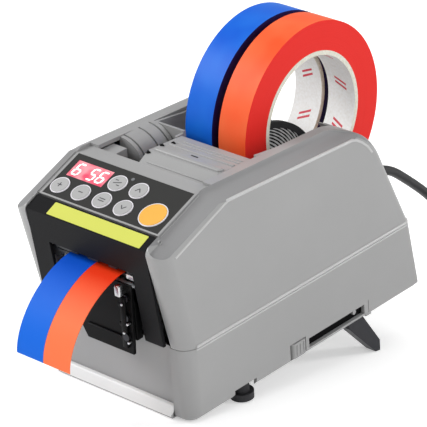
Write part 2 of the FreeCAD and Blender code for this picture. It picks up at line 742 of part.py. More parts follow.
divider = (roll_y - z.dividerAhead, roll_z - z.dividerBelow)
divider_floor = well_floor + z.wellWall
divider_front = tray_front + z.wellWall + z.restGap
divider_block = box((-10, 10), (divider_front, rear + 20), (divider_floor, roll_z + 40))
divider_disc = fuse(
    rod("x", z.dividerRadius - 1, -z.dividerThick / 2, z.dividerThick / 2, divider),
    ring((-z.dividerRim / 2, z.dividerRim / 2), z.dividerRadius, z.dividerRadius - z.dividerRimWidth, divider),
    rod("x", 9, -z.dividerRim / 2, z.dividerRim / 2, divider),
)
node("roll_divider", cut(
    fuse(shared(divider_disc, divider_block),
         box((-8, 8), (divider_front, divider[0] + 34), (divider_floor, divider_floor + 2))),
    rod("x", z.supportRadius + 0.6, -10, 10, support_front),
    rod("x", z.supportRadius + 0.6, -10, 10, support_rear),
))

# Well: the tray that holds the rollers, standing on posts

well_out = well_half - z.wellFit
lid_left = well_half - z.cheekRadius - z.lidCheekGap
lid_rear_z = rim_height(tray_front) - z.lidRearDrop


def tray_block(inset, low, top_cut):
    """The tray's outer form, or its hollow: its top follows the rim and its back the rear wall."""
    back_top = rear - 50
    return prism(
        [(tray_front + inset, low), (tray_front + inset, rim_height(tray_front) + top_cut),
         (back_top - inset, rim_height(back_top) - 5.5 + top_cut),
         (rear_wall(100) - z.wall - 2 - inset, 100), (rear_wall(low) - z.wall - 1.5 - inset, low)],
        (-well_out + inset, well_out - inset),
    )


ears = [box(x_range, (tray_front - 5.5, tray_front + 0.5), (lid_rear_z - 8, lid_rear_z + 0.4))
        for x_range in ((-lid_left - 2, -lid_left - 0.3), (well_out - 2, well_out - 0.3))]
lid_pin_y = tray_front - 2.9
lid_pin_z = lid_rear_z - z.lidBarrel
tray_posts = [rod("z", 4, floor_top, well_floor + 1, (across, y))
              for across in (z.postInset - well_out, well_out - z.postInset)
              for y in (tray_front + 6, rear - 28)]
tray_walls = cut(tray_block(0, well_floor, 0), tray_block(z.wellWall, divider_floor, 1))
tape_slot = box((-outer_face - 4, outer_face + 4), (tray_front - 2, tray_front + z.wellWall + 1),
                (tape_plane - 26.5, tape_plane - 6.5))
node("tape_well", cut(
    fuse(tray_walls, *ears, *tray_posts),
    rear_slot(),
    tape_slot,
    box((-lid_left - 0.2, well_out - 2.1), (tray_front - 1, tray_front + z.wellWall + 1),
        (lid_rear_z - 6, rim_front_z + 5)),
    *[rod("x", z.supportShaftRadius + 0.02, -well_out - 1, well_out + 1, centre)
      for centre in (support_front, support_rear)],
    rod("x", z.lidPin + z.runningFit, -lid_left - 3, well_out + 1, (lid_pin_y, lid_pin_z)),
))

# Lid over the feed rollers

ridge_y = front + z.lidRidgeBack
lid_front = front + z.lidFrontBack
lid_ridge_z = rim_height(ridge_y) - z.lidRidgeDrop
lid_front_z = rim_height(lid_front) - z.lidFrontDrop
lid_x = (-lid_left, well_out - 2.3)
lid_plate = prism(
    [(lid_pin_y, lid_rear_z), (ridge_y, lid_ridge_z), (lid_front, lid_front_z),
     (lid_front + 0.6, lid_front_z - z.lidThick), (ridge_y + 0.3, lid_ridge_z - z.lidThick),
     (lid_pin_y, lid_rear_z - z.lidThick)],
    lid_x,
)
node("feed_lid", fuse(
    lid_plate,
    rod("x", z.lidBarrel, lid_x[0], lid_x[1], (lid_pin_y, lid_pin_z)),
    rod("x", z.lidPin, -lid_left - 1.9, well_out - 0.4, (lid_pin_y, lid_pin_z)),
))

# Feed mechanism between two side frames

drive = (nip_y, tape_plane - z.tapeThick / 2 - z.nipGap - z.driveRadius)
press = (nip_y, tape_plane + z.tapeThick / 2 + z.nipGap + z.pressRadius)
frame_y = (front + z.frameFrontBack, front + z.frameFrontBack + z.frameDepth)
frame_top = panel_z - z.frameDrop
roller_half = frame_inner - z.rollerGap
gear_x = (frame_inner + z.frameThick + z.gearGap, frame_inner + z.frameThick + z.gearGap + z.gearWidth)
centre_distance = (z.driveTeeth + z.pinionTeeth) * z.toothModule / 2
motor = (drive[0] + centre_distance * cosine(45), drive[1] - centre_distance * sine(45))
for name, sign in (("left", -1), ("right", 1)):
    plate = prism(
        [(frame_y[0], floor_top), (frame_y[0], frame_top - 8), (frame_y[0] + 6, frame_top),
         (frame_y[1] - z.frameSlantRun, frame_top), (frame_y[1], frame_top - z.frameSlantDrop),
         (frame_y[1], floor_top)],
        span(sign, frame_inner, frame_inner + z.frameThick),
    )
    foot = box(span(sign, frame_inner + z.frameThick - 8, frame_inner + z.frameThick),
               (frame_y[0] + 4, frame_y[1]), (floor_top, floor_top + 1.5))
    holes = [rod("x", shaft + z.runningFit, -60, 60, axis)
             for shaft, axis in ((z.driveShaft, drive), (z.pressShaft, press))]
    if sign > 0:
        holes.append(rod("x", 4, 0, 60, motor))
    node(f"side_frame_{name}", cut(fuse(plate, foot), *holes))
frame_out = frame_inner + z.frameThick
node("drive_shaft", rod("x", z.driveShaft, -frame_out - 1.5, gear_x[1] + 1, drive))
node("drive_roller", ring((-roller_half, roller_half), z.driveRadius, z.driveShaft, drive))
node("press_roller", fuse(
    rod("x", z.pressRadius, -roller_half, roller_half, press),
    rod("x", z.pressShaft, -frame_out - 1.5, frame_out + 1.5, press),
))
motor_end = frame_inner - z.motorLength
motor_bore = frame_inner - 8
node("feed_motor", cut(
    rod("x", z.motorRadius, motor_end, frame_inner, motor),
    rod("x", z.motorShaft + z.runningFit, motor_bore, frame_inner + 1, motor),
))


def gear(teeth, centre, phase):
    """A spur gear blank with 20 degree involute flanks, thinned a little for backlash."""
    module, backlash = float(z.toothModule), 0.25
    pitch_r, base_r = module * teeth / 2, module * teeth / 2 * math.cos(math.radians(20))
    tip_r, root_r = pitch_r + 0.9 * module, pitch_r - 1.25 * module
    involute = math.tan(math.radians(20)) - math.radians(20)
    half_tooth = math.pi / (2 * teeth) - backlash / (2 * pitch_r) + involute

    def flank(radius):
        roll = math.acos(min(1.0, base_r / radius))
        return half_tooth - (math.tan(roll) - roll)

    steps = [max(base_r, root_r) + (tip_r - max(base_r, root_r)) * k / 4 for k in range(5)]
    points = []
    for tooth in range(teeth):
        middle = phase + 2 * math.pi * tooth / teeth
        profile = [(root_r, flank(steps[0]))] + [(r, flank(r)) for r in steps]
        sides = [(r, -a) for r, a in profile] + [(r, a) for r, a in reversed(profile)]
        points += [(r * math.cos(middle + a), r * math.sin(middle + a)) for r, a in sides]
    y0, z0, x0 = float(centre[0]), float(centre[1]), float(gear_x[0])
    corners = [Vector(x0, y0 + a, z0 + b) for a, b in points]
    face = Part.Face(Part.makePolygon(corners + corners[:1]))
    return free_shape(face.extrude(Vector(float(z.gearWidth), 0, 0)))


drive_teeth, pinion_teeth = int(float(z.driveTeeth)), int(float(z.pinionTeeth))
mesh_angle = math.radians(-45)
node("drive_gear", cut(gear(drive_teeth, drive, mesh_angle),
                       rod("x", z.driveShaft, gear_x[0] - 1, gear_x[1] + 1, drive)))
node("motor_pinion", fuse(gear(pinion_teeth, motor, mesh_angle + math.pi + math.pi / pinion_teeth),
                          rod("x", z.motorShaft, motor_bore + 0.5, gear_x[1] + 0.5, motor)))

# Tape on its way: the supply from the rolls to the blade, and the two cut strips that hang from the outlet

blade_half = frame_inner - z.bladeInset
blade_back = nip_y - 11.5
blade_front = blade_back - z.bladeThick
supply_end = blade_back + z.bladeBack
strip_start = blade_front - z.bladeBack


def supply_path():
    """Centre line of the tape from the blade over the drive roller and down to the underside of a roll."""
    plane, y0 = float(tape_plane), float(nip_y)
    r_drive = float(z.driveRadius + z.nipGap + z.tapeThick / 2)
    r_roll = float(z.rollRadius + z.nipGap + z.tapeThick / 2)
    dy, dz = float(roll_y) - y0, float(roll_z) - float(drive[1])
    far = math.hypot(dy, dz)
    slope = math.atan2(dz, dy) - math.asin((r_drive + r_roll) / far)
    leave = (y0 - r_drive * math.sin(slope), float(drive[1]) + r_drive * math.cos(slope))
    land = (float(roll_y) + r_roll * math.sin(slope), float(roll_z) - r_roll * math.cos(slope))
    middle = (y0 - r_drive * math.sin(slope / 2), float(drive[1]) + r_drive * math.cos(slope / 2))
    spread_y = float(tray_front) - 8
    spread = (spread_y, leave[1] + (spread_y - leave[0]) * math.tan(slope))
    return [(float(supply_end), plane), (y0, plane), middle, leave, spread, land], slope


def band(points_low, points_high, x_ranges):
    """A thin strip of tape: a ruled solid through cross-sections."""
    wires = []
    for (y, height), (ny, nz), (x0, x1) in zip(points_low, points_high, x_ranges):
        h = float(z.tapeThick) / 2
        ring_points = [Vector(x0, y - ny * h, height - nz * h), Vector(x1, y - ny * h, height - nz * h),
                       Vector(x1, y + ny * h, height + nz * h), Vector(x0, y + ny * h, height + nz * h)]
        wires.append(Part.makePolygon(ring_points + ring_points[:1]))
    return free_shape(Part.makeLoft(wires, True, True))


supply_points, slope = supply_path()
supply_angles = [0, 0, slope / 2, slope, slope, slope]
supply_normals = [(-math.sin(a), math.cos(a)) for a in supply_angles]
strip_inner = float(z.outletTapeGap) / 2
roll_inner = float(inner_face)
tape_w = float(z.tapeWidth)


def strip_x(sign, inner):
    return (inner, inner + tape_w) if sign > 0 else (-inner - tape_w, -inner)


def hanging_path():
    """Centre line of a cut strip: straight out, then a quarter of a superellipse to its free end."""
    reach, drop, bow, level = float(z.stripReach), float(z.stripDrop), float(z.stripBow), float(z.stripLevel)
    y0, z0 = float(strip_start), float(tape_plane)
    count = 14
    path = [(y0, z0), (y0 - level, z0)]
    for k in range(1, count + 1):
        a = math.pi / 2 * k / count
        path.append((y0 - level - (reach - level) * math.sin(a) ** bow,
                     z0 - drop * (1 - abs(math.cos(a)) ** bow)))
    return path


def path_normals(path):
    normals = []
    for k in range(len(path)):
        before, after = path[max(k - 1, 0)], path[min(k + 1, len(path) - 1)]
        dy, dz = after[0] - before[0], after[1] - before[1]
        size = math.hypot(dy, dz)
        normals.append((dz / size, -dy / size))
    return normals


hang = hanging_path()
hang_normals = path_normals(hang)
for name, sign in (("blue", -1), ("orange", 1)):
    ends = [strip_x(sign, strip_inner)] * 4 + [strip_x(sign, roll_inner)] * 2
    node(f"supply_{name}", band(supply_points, supply_normals, ends))
    node(f"cut_strip_{name}", band(hang, hang_normals, [strip_x(sign, strip_inner)] * len(hang)))

# Cutter: a fixed blade above the tape and a moving one below it, lifted by a solenoid

tape_low = tape_plane - z.tapeThick / 2
tape_high = tape_plane + z.tapeThick / 2
moving_y = (blade_front, blade_back)
blade_top = tape_low - z.bladeRest
node("moving_blade", box((-blade_half, blade_half), moving_y, (blade_top - 20, blade_top)))
carrier_x = (-blade_half + 2, blade_half - 2)
carrier_low = blade_top - 31
solenoid_y = (blade_back + 3, blade_back + 3 + z.solenoidDepth)
solenoid_top = floor_top + z.solenoidHeight
plunger_at = (-2, blade_back + 9)
plunger_bottom = solenoid_top - 12
node("blade_carrier", fuse(
    box(carrier_x, (blade_back, blade_back + 1.6), (carrier_low, blade_top - 11)),
    box((-8, 3), (blade_back, blade_back + 13), (carrier_low, carrier_low + 2)),
    rod("z", z.plungerRadius, plunger_bottom, carrier_low + 1, plunger_at),
))
node("cutter_solenoid", cut(
    box((-z.solenoidWidth / 2, z.solenoidWidth / 2), solenoid_y, (floor_top, solenoid_top)),
    rod("z", z.plungerRadius + z.runningFit, plunger_bottom - 1, solenoid_top + 1, plunger_at),
))
node("fixed_blade", box((-blade_half, blade_half), (blade_front - z.bladeGap - 0.9, blade_front - z.bladeGap),
                        (tape_high + 0.5, tape_high + 7)))
guide_y = blade_front - z.bladeGap - 0.9
guide_top = outlet_top + 1.5
scallops = [box((x, x + 8), (guide_y - 12, guide_y - 3), (tape_high, tape_high + 2.2)) for x in (-14, 2, 16)]
node("outlet_guide", cut(
    fuse(
        prism([(guide_y, tape_high + 0.6), (guide_y - 6, tape_high + 0.6), (guide_y - 7, guide_top - 1.5),
               (guide_y - 5.5, guide_top), (guide_y, guide_top)], (-outlet_half + 1, outlet_half - 1)),
        *both_sides(lambda s: box(span(s, outlet_half - 1.5, frame_out), (guide_y - 4, frame_y[0]),
                                  (tape_high + 1, guide_top))),
    ),
    *scallops,
))
node("outlet_plate", fuse(
    prism([(guide_y, tape_low - z.restGap), (guide_y - 5, tape_low - z.restGap),
           (guide_y - 4.5, tape_low - 2.2), (guide_y, tape_low - 2.2)], (-outlet_half + 1, outlet_half - 1)),
    *both_sides(lambda s: box(span(s, outlet_half - 1.5, frame_out), (guide_y - 4, frame_y[0]),
                              (tape_low - 6, tape_low - 0.5))),
))
guard_right = outlet_half - z.guardInset
guard_top = tape_plane - z.guardTopDrop
guard_bottom = z.baseHeight - z.guardHang
guard_y = front - z.guardForward
bar_y = (blade_front - 3.4, blade_front - 1)
bar_z = (z.baseHeight + 10, z.baseHeight + 16)
guard_bar = fuse(
    box((-frame_out, frame_out), bar_y, bar_z),
    *both_sides(lambda s: box(span(s, frame_inner, frame_out), (bar_y[0], frame_y[0]), bar_z)),
)
guard_plate = prism(
    [(guard_y, guard_top), (guard_y - z.guardFlare, guard_bottom), (guard_y - z.guardFlare + 2, guard_bottom),
     (guard_y + 2, guard_top)],
    (-z.guardLeft, guard_right),
)
slanted_corner = sheet_cutout(
    [(-z.guardLeft - 1, guard_bottom - 1), (-z.guardLeft + z.guardCorner, guard_bottom - 1),
     (-z.guardLeft - 1, guard_bottom + z.guardCorner * 1.6)],
    (guard_y - 5, guard_y + 5),
)
guard_ribs = [box((x, x + 1.6), (guard_y + 1.5, bar_y[0]), (z.baseHeight + 3, z.baseHeight + 30))
              for x in (-z.guardLeft + 9, guard_right - 1.6)]
node("cutter_guard", fuse(cut(guard_plate, slanted_corner), *guard_ribs, guard_bar))


def guard_face(height):
    """Y of the guard's front face at a height."""
    return guard_y - z.guardFlare * (guard_top - height) / (guard_top - guard_bottom)

# Feet, fold-out legs and their catches

foot_solids = []
for y in (foot_front, foot_rear):
    for across in foot_pair(y):
        pad = shared(rod("z", z.footRadius, -z.footDrop, -3, (across, y)),
                     place(doc.addObject("Part::Sphere", "Dome"), (across, y, z.footDome - z.footDrop)))
        bind(pad.Tool, "Radius", z.footDome)
        foot_solids.append(fuse(pad, rod("z", z.footStem, -3.5, foot_top, (across, y))))
node("rubber_feet", group(*foot_solids))

foot_y = rear - z.legFootInset
foot_z = -z.legFootDrop
dome_y = float(foot_front)
dome_z = float(z.footDome - z.footDrop)
reach_y, reach_z = float(foot_y) - dome_y, dome_z - float(foot_z)
tilt = math.degrees(math.acos(float(z.footDome) / math.hypot(reach_y, reach_z)) - math.atan2(reach_y, reach_z))
pad_fall = z.legPad * math.tan(math.radians(tilt))
for name, sign in (("left", -1), ("right", 1)):
    leg_x = span(sign, leg_inner, leg_outer)
    arm = prism(
        [(leg_y - z.legHub + 0.4, leg_z - 1), (rear - z.legRootFront, -z.legRootDrop), (foot_y, foot_z),
         (foot_y + z.legPad, foot_z - pad_fall), (foot_y + z.legPad, foot_z + 6.5),
         (rear - z.legRootRear, -z.legRootDrop), (leg_y + z.legHub - 0.4, leg_z + 1)],
        leg_x,
    )
    node(f"leg_{name}", cut(fuse(arm, rod("x", z.legHub, leg_x[0], leg_x[1], (leg_y, leg_z))),
                            rod("x", z.legPin + z.runningFit, leg_x[0] - 1, leg_x[1] + 1, (leg_y, leg_z))))
    knob = box(span(sign, half - 4, half + z.catchProud), (catch_front, catch_rear), (2.8, 12.2))
    tongue = box(span(sign, leg_inner + 0.3, half - z.wall - 0.4), (catch_front, catch_rear), (5, 12.2))
    node(f"leg_catch_{name}", fuse(softened(
        knob, 2, lambda p, t, s=sign: near(p.x, s * (half + z.catchProud)) and abs(t.z) > 0.9), tongue))

# Inside the base

node("power_supply", box((-half + 9, -4), board_y, (floor_top, well_floor - 6)))
board_high = board_low + z.boardThick
node("main_board", fuse(
    box(board_x, board_y, (board_low, board_high)),
    box((board_x[0] + 6, board_x[0] + 18), (board_y[0] + 8, board_y[0] + 24), (board_high, board_high + 6)),
    box((board_x[1] - 16, board_x[1] - 4), (board_y[0] + 14, board_y[0] + 34), (board_high, board_high + 9)),
    rod("z", 4, board_high, board_high + 13, (board_x[0] + 12, board_y[1] - 14)),
    rod("z", 4, board_high, board_high + 13, (board_x[0] + 12, board_y[1] - 5)),
))
case_screws = [
    rod("z", z.screwHead, z.floorBottom - z.screwThick, z.floorBottom, (across, y))
    for across in (-half + 24, half - 24) for y in (front + 16, rear - 32)
]
guard_screws = [
    rod("y", z.screwHead, guard_face(height) - z.screwThick - 0.12, guard_face(height) - 0.12,
        (guard_right - 4, height))
    for height in (z.baseHeight + 6, z.baseHeight + 18, z.baseHeight + 30)
]
node("screws", group(*case_screws, *guard_screws))

# Rear wall: power switch in the base and cord entry in the upper cover

rocker_pivot = rocker_line(0.05)
rocker_ends = (z.rockerAcross - z.rockerWidth / 2 - 0.4, z.rockerAcross + z.rockerWidth / 2 + 0.4)
node("rocker_housing", cut(
    fuse(base_rear_box(z.rockerWidth + 4, (0, 1.4), z.rockerTall + 4),
         base_rear_box(z.rockerWidth + 1.6, (-12, 0.5), z.rockerTall + 1.6)),
    base_rear_box(z.rockerWidth - 1, (-6, 3), z.rockerTall - 1),
    rod("x", z.rockerPin + z.runningFit, rocker_ends[0] - 0.1, rocker_ends[1] + 0.1, rocker_pivot),
))
node("power_rocker", fuse(base_rear_box(z.rockerWidth - 2, (-2.5, 2.6), z.rockerTall - 3),
                          rod("x", z.rockerPin, *rocker_ends, rocker_pivot)))
flange_out = z.reliefBoss + 1.6
relief_tip = flange_out + z.reliefLength
node("strain_relief", fuse(
    relief_cone((-z.reliefInside, z.reliefBoss + 0.5), (z.reliefRadius - z.reliefFit,) * 2),
    relief_cone((z.reliefBoss, flange_out), (z.reliefRadius + 1.4, z.reliefRadius + 1.4)),
    relief_cone((flange_out, relief_tip), (z.reliefRadius + 0.3, z.cordRadius + 0.8)),
))
doc.recompute()

# The whole machine leans forward on its legs

stand = Rotation(Vector(1, 0, 0), tilt)
solids = [thing.Shape.copy() for name, thing in nodes.items() if name not in loose]
for shape in solids:
    shape.Placement = Placement(Vector(), stand).multiply(shape.Placement)
room = solids[0].optimalBoundingBox()
for shape in solids[1:]:
    room.add(shape.optimalBoundingBox())
ground = float(foot_y) * math.sin(math.radians(tilt)) + float(foot_z) * math.cos(math.radians(tilt))
shift = Vector(0, -(room.YMin + room.YMax) / 2, -ground)
stance = Placement(shift, stand)
print("tilt", round(tilt, 3), "shift", round(shift.y, 3), round(shift.z, 3))


def standing(x, y, height):
    """A point of the level machine where it is once the machine stands on its legs."""
    return stance.multVec(Vector(float(x), float(y), float(height)))


# Mains cord: falls from the strain relief onto a tied coil, whose last turn leads to the plug beside it

cord_r = float(z.cordRadius)
coil_turn = float(z.coilAcross) / 2
coil_pitch = 2 * cord_r + 0.1
coil_layers, coil_columns = 4, 2
coil_high = cord_r + 0.05 + (coil_layers - 1) * coil_pitch
relief_end = standing(*on_relief(relief_tip))
relief_along = (relief_end - standing(*on_relief(0))).normalize()
outer_turn = coil_turn + coil_pitch / 2
coil_x, coil_y = 36, relief_end.y + 127
tail_x = coil_x + outer_turn
ground_line = cord_r + 0.05
plug_z = 8


def behind(x, y, height):
    """A point of the cord: across, behind the tip of the strain relief, and above the ground."""
    return Vector(x, relief_end.y + y, height)


cord_route = [
    relief_end, relief_end + relief_along * 20, behind(0, 47, 72.6), behind(0, 66, 60.3),
    behind(-0.6, 83, 46.9), behind(-1, 98, 33.6), behind(-0.6, 111, 25.4),
    Vector(coil_x - outer_turn, coil_y, coil_high),
]
tail_route = [
    Vector(tail_x, coil_y, ground_line), behind(tail_x, 115, 3.6), behind(tail_x, 104, 6),
    behind(tail_x, 93, 7.9), behind(tail_x, 87, plug_z),
]


def tube(route):
    """A round tube along straight runs joined by tangent arcs, each as large as its two runs allow."""
    edges, begin, radii = [], route[0], []
    for before, corner, after in zip(route, route[1:], route[2:]):
        first, second = corner - before, after - corner
        turn = first.getAngle(second)
        shorter = min(first.Length, second.Length)
        trim = 0.45 * shorter
        radii.append(round(trim / math.tan(turn / 2), 1))
        arc_from = corner - first.normalize() * trim
        arc_to = corner + second.normalize() * trim
        bisector = (second - first).normalize()
        radius = trim / math.tan(turn / 2)
        centre = corner + bisector * (radius / math.cos(turn / 2))
        middle_point = centre - bisector * radius
        edges.append(Part.LineSegment(begin, arc_from).toShape())
        edges.append(Part.Arc(arc_from, middle_point, arc_to).toShape())
        begin = arc_to
    edges.append(Part.LineSegment(begin, route[-1]).toShape())
    path = Part.Wire(edges)
    section = Part.Wire(Part.Circle(route[0], route[1] - route[0], cord_r).toShape())
    solid = path.makePipeShell([section], True, False)
    print("cord arcs", radii, "length", round(path.Length, 1), "volume over section times length",
          round(solid.Volume / (math.pi * cord_r ** 2 * path.Length), 5))
    return solid


node("power_cord", free_shape(Part.makeCompound([tube(cord_route), tube(tail_route)])), False)
coil_ring = doc.addObject("Part::Cut", "Coil")
coil_outer = rod("z", outer_turn + cord_r, 0, coil_high + cord_r + 0.05, (coil_x, coil_y))
coil_ring.Base = coil_outer
coil_ring.Tool = rod("z", coil_turn - coil_pitch / 2 - cord_r, -1, coil_high + cord_r + 1, (coil_x, coil_y))
node("cord_coil", coil_ring, False)
plug_rear = tail_route[-1].y
taper = doc.addObject("Part::Cone", "Taper")
bind(taper, "Radius1", z.cordRadius + 0.8)
bind(taper, "Radius2", z.plugThick / 2 - 1)
bind(taper, "Height", z.plugTaper)
place(taper, (tail_x, plug_rear, plug_z), Rotation(Vector(1, 0, 0), 90))
plug_front = plug_rear - z.plugTaper - z.plugLength
plug_block = box((tail_x - z.plugWidth / 2, tail_x + z.plugWidth / 2), (plug_front, plug_rear - z.plugTaper),
                 (plug_z - z.plugThick / 2, plug_z + z.plugThick / 2))
blades = [box((tail_x + s * 6.35 - 0.75, tail_x + s * 6.35 + 0.75), (plug_front - z.plugBlade, plug_front + 1),
              (plug_z - 3.15, plug_z + 3.15)) for s in (-1, 1)]
node("mains_plug", fuse(
    softened(plug_block, 3, lambda p, t: abs(t.y) > 0.9), taper, *blades,
), False)
doc.recompute()


def export():
    """Tilts and checks every sub-part, then writes it."""
    for name, thing in nodes.items():
        if name not in loose:
            thing.Placement = stance.multiply(thing.Placement)
    doc.recompute()
    for thing in doc.Objects:
        if "Invalid" in thing.State or "Error" in thing.State:
            raise RuntimeError(f"{thing.Name} {thing.Label} failed: {thing.State}")
    for name, thing in nodes.items():
        shape = thing.Shape
        if shape.isNull() or not shape.isValid() or not shape.Solids:
            raise RuntimeError(f"{name} has no sound solid")
        shape.exportStep(f"parts/{name}.step")
        print(name, "solids", len(shape.Solids), "volume", round(shape.Volume, 1))


export()
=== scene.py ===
import json
from math import atan2, cos, degrees, pi, radians, sin

import bpy
from mathutils import Matrix, Vector


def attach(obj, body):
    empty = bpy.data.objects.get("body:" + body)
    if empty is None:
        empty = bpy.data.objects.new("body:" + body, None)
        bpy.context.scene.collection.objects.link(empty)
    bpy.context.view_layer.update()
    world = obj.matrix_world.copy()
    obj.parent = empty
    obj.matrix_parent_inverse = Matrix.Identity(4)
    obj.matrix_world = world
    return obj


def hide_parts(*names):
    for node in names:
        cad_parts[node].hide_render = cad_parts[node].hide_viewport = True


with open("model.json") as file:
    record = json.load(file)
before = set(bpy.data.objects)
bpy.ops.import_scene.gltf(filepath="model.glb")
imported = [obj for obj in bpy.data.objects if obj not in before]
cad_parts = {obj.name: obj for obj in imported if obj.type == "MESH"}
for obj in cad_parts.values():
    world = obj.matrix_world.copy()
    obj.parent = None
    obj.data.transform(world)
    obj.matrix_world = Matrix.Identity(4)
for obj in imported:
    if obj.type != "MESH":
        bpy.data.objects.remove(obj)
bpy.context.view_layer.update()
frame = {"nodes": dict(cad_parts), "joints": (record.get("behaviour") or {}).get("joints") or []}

scene = bpy.context.scene
scene.view_settings.view_transform = "Standard"
nodes = frame["nodes"]
mm = 0.001

# The machine leans forward on its legs. Added pieces are drawn in millimetres on the level machine,
# and standUp puts them on the leaning one when they are finished.
joints = {joint["name"]: joint for joint in frame["joints"]}
upward = Vector(joints["cutter_lift"]["axis"])
lean = atan2(-upward.y, upward.z)
rollAxis = Vector(joints["roll_orange_spin"]["pos_m"])
levelRollAxis = Vector((0, 51, 120.397)) * mm
stance = Matrix.Translation(rollAxis) @ Matrix.Rotation(lean, 4, "X") @ Matrix.Translation(-levelRollAxis)
standUp = stance @ Matrix.Scale(mm, 4)


# Camera, floor and light

camera = {"place": (1.05219, -1.21113, 0.66234), "turn": (70.414, -3.2736, 42.172), "lens": 249.073,
          "sensor": 36, "reach": 50}
bpy.ops.object.camera_add(location=camera["place"], rotation=[radians(a) for a in camera["turn"]])
scene.camera = bpy.context.object
scene.camera.data.lens = camera["lens"]
scene.camera.data.sensor_width = camera["sensor"]
scene.camera.data.clip_end = camera["reach"]


def toLinear(hexColour):
    parts = [int(hexColour[i:i + 2], 16) / 255 for i in (1, 3, 5)]
    return [p / 12.92 if p <= 0.04045 else ((p + 0.055) / 1.055) ** 2.4 for p in parts] + [1]


def addNode(tree, kind, inputs=None, stops=(), **settings):  # a node as an input stands for its first output
    made = tree.nodes.new(kind)
    for name, value in settings.items():
        setattr(made, name, value)
    for key, value in (inputs or {}).items():
        if isinstance(value, bpy.types.Node):
            value = value.outputs[0]
        if isinstance(value, bpy.types.NodeSocket):
            tree.links.new(value, made.inputs[key])
        else:
            made.inputs[key].default_value = value
    for k, (place, colour) in enumerate(stops):  # only a colour ramp has stops, and starts with two
        stop = made.color_ramp.elements[k] if k < 2 else made.color_ramp.elements.new(place)
        stop.position = place
        stop.color = toLinear(colour)
    return made


def newMaterial(name):
    material = bpy.data.materials.new(name)
    material.use_nodes = True
    material.node_tree.nodes.clear()
    return material, material.node_tree


def finishMaterial(tree, look):
    shader = addNode(tree, "ShaderNodeBsdfPrincipled", look)
    addNode(tree, "ShaderNodeOutputMaterial", {"Surface": shader})


studioFloor = {"size": 5, "colour": "#f2f2f2", "rough": 0.9, "specular": 0.1, "glow": 0.42}
studioRoom = {"light": 0.44, "seen": 1.0}
lampTarget = Vector((0, 0, 0.08))
lamps = {
    "keyLight": {"place": (-1.7, -1.2, 1.35), "size": 1.4, "power": 44},
    "fillLight": {"place": (1.9, -0.5, 0.5), "size": 1.6, "power": 10},
    "edgeLight": {"place": (1.35, 1.75, 1.25), "size": 0.5, "power": 15},
    "topLight": {"place": (0.1, 0.5, 1.9), "size": 1.4, "power": 7},
}


def anyRay(tree, *kinds):  # 1 for a ray of any of these kinds, 0 for the others
    rays = addNode(tree, "ShaderNodeLightPath")
    seen = rays.outputs[kinds[0]]
    for kind in kinds[1:]:
        seen = addNode(tree, "ShaderNodeMath", {0: seen, 1: rays.outputs[kind]}, operation="MAXIMUM")
    return seen


def studio():
    bpy.ops.mesh.primitive_plane_add(size=studioFloor["size"], location=(0, 0, 0))
    floor = bpy.context.object
    floor.name = "studioFloor"
    material, tree = newMaterial("matt white studio floor")  # pale and plain, and it keeps the soft shadow
    seen = anyRay(tree, "Is Camera Ray", "Is Glossy Ray", "Is Transmission Ray")
    glow = addNode(tree, "ShaderNodeMath", {0: seen, 1: studioFloor["glow"]}, operation="MULTIPLY")
    finishMaterial(tree, {
        "Base Color": toLinear(studioFloor["colour"]), "Roughness": studioFloor["rough"],
        "Specular IOR Level": studioFloor["specular"], "Emission Color": (1, 1, 1, 1),
        "Emission Strength": glow})
    floor.data.materials.append(material)

    world = bpy.data.worlds.new("soft white room")
    scene.world = world
    world.use_nodes = True
    tree = world.node_tree
    tree.nodes.clear()
    seen = anyRay(tree, "Is Camera Ray", "Is Transmission Ray")
    room = addNode(tree, "ShaderNodeBackground", {"Color": (1, 1, 1, 1), "Strength": studioRoom["light"]})
    white = addNode(tree, "ShaderNodeBackground", {"Color": (1, 1, 1, 1), "Strength": studioRoom["seen"]})
    mix = addNode(tree, "ShaderNodeMixShader", {0: seen, 1: room, 2: white})
    addNode(tree, "ShaderNodeOutputWorld", {"Surface": mix})

    for name, lamp in lamps.items():
        bpy.ops.object.light_add(type="AREA", location=lamp["place"])
        light = bpy.context.object
        light.name = name
        light.data.shape = "DISK"
        light.data.size = lamp["size"]
        light.data.energy = lamp["power"]
        light.rotation_euler = (lampTarget - light.location).to_track_quat("-Z", "Y").to_euler()
    print("camera, floor and lights are set")


studio()


# Finishes. Sizes of grain and pattern are in millimetres.


def objectPoint(tree, size):  # a place on the piece, scaled so that a noise has cells of that size
    coords = addNode(tree, "ShaderNodeTexCoord")
    scale = 1 / (size * mm)
    return addNode(tree, "ShaderNodeMapping", {"Vector": coords.outputs["Object"], "Scale": (scale,) * 3})


def pointFromRollAxis(tree):
    coords = addNode(tree, "ShaderNodeTexCoord")
    return addNode(tree, "ShaderNodeMapping", {"Vector": coords.outputs["Object"], "Location": -rollAxis})


def onSideFaces(tree):  # 1 on the flat sides of a roll or core, 0 on its rim and bore
    coords = addNode(tree, "ShaderNodeTexCoord")
    facing = addNode(tree, "ShaderNodeSeparateXYZ", {"Vector": coords.outputs["Normal"]})
    sideways = addNode(tree, "ShaderNodeMath", {0: facing.outputs["X"]}, operation="ABSOLUTE")
    return addNode(tree, "ShaderNodeMath", {0: sideways, 1: 0.5}, operation="GREATER_THAN")


plastic = {"driftSize": 45, "smoother": 0.05, "rougher": 0.06, "bump": 0.35, "coatRough": 0.2}


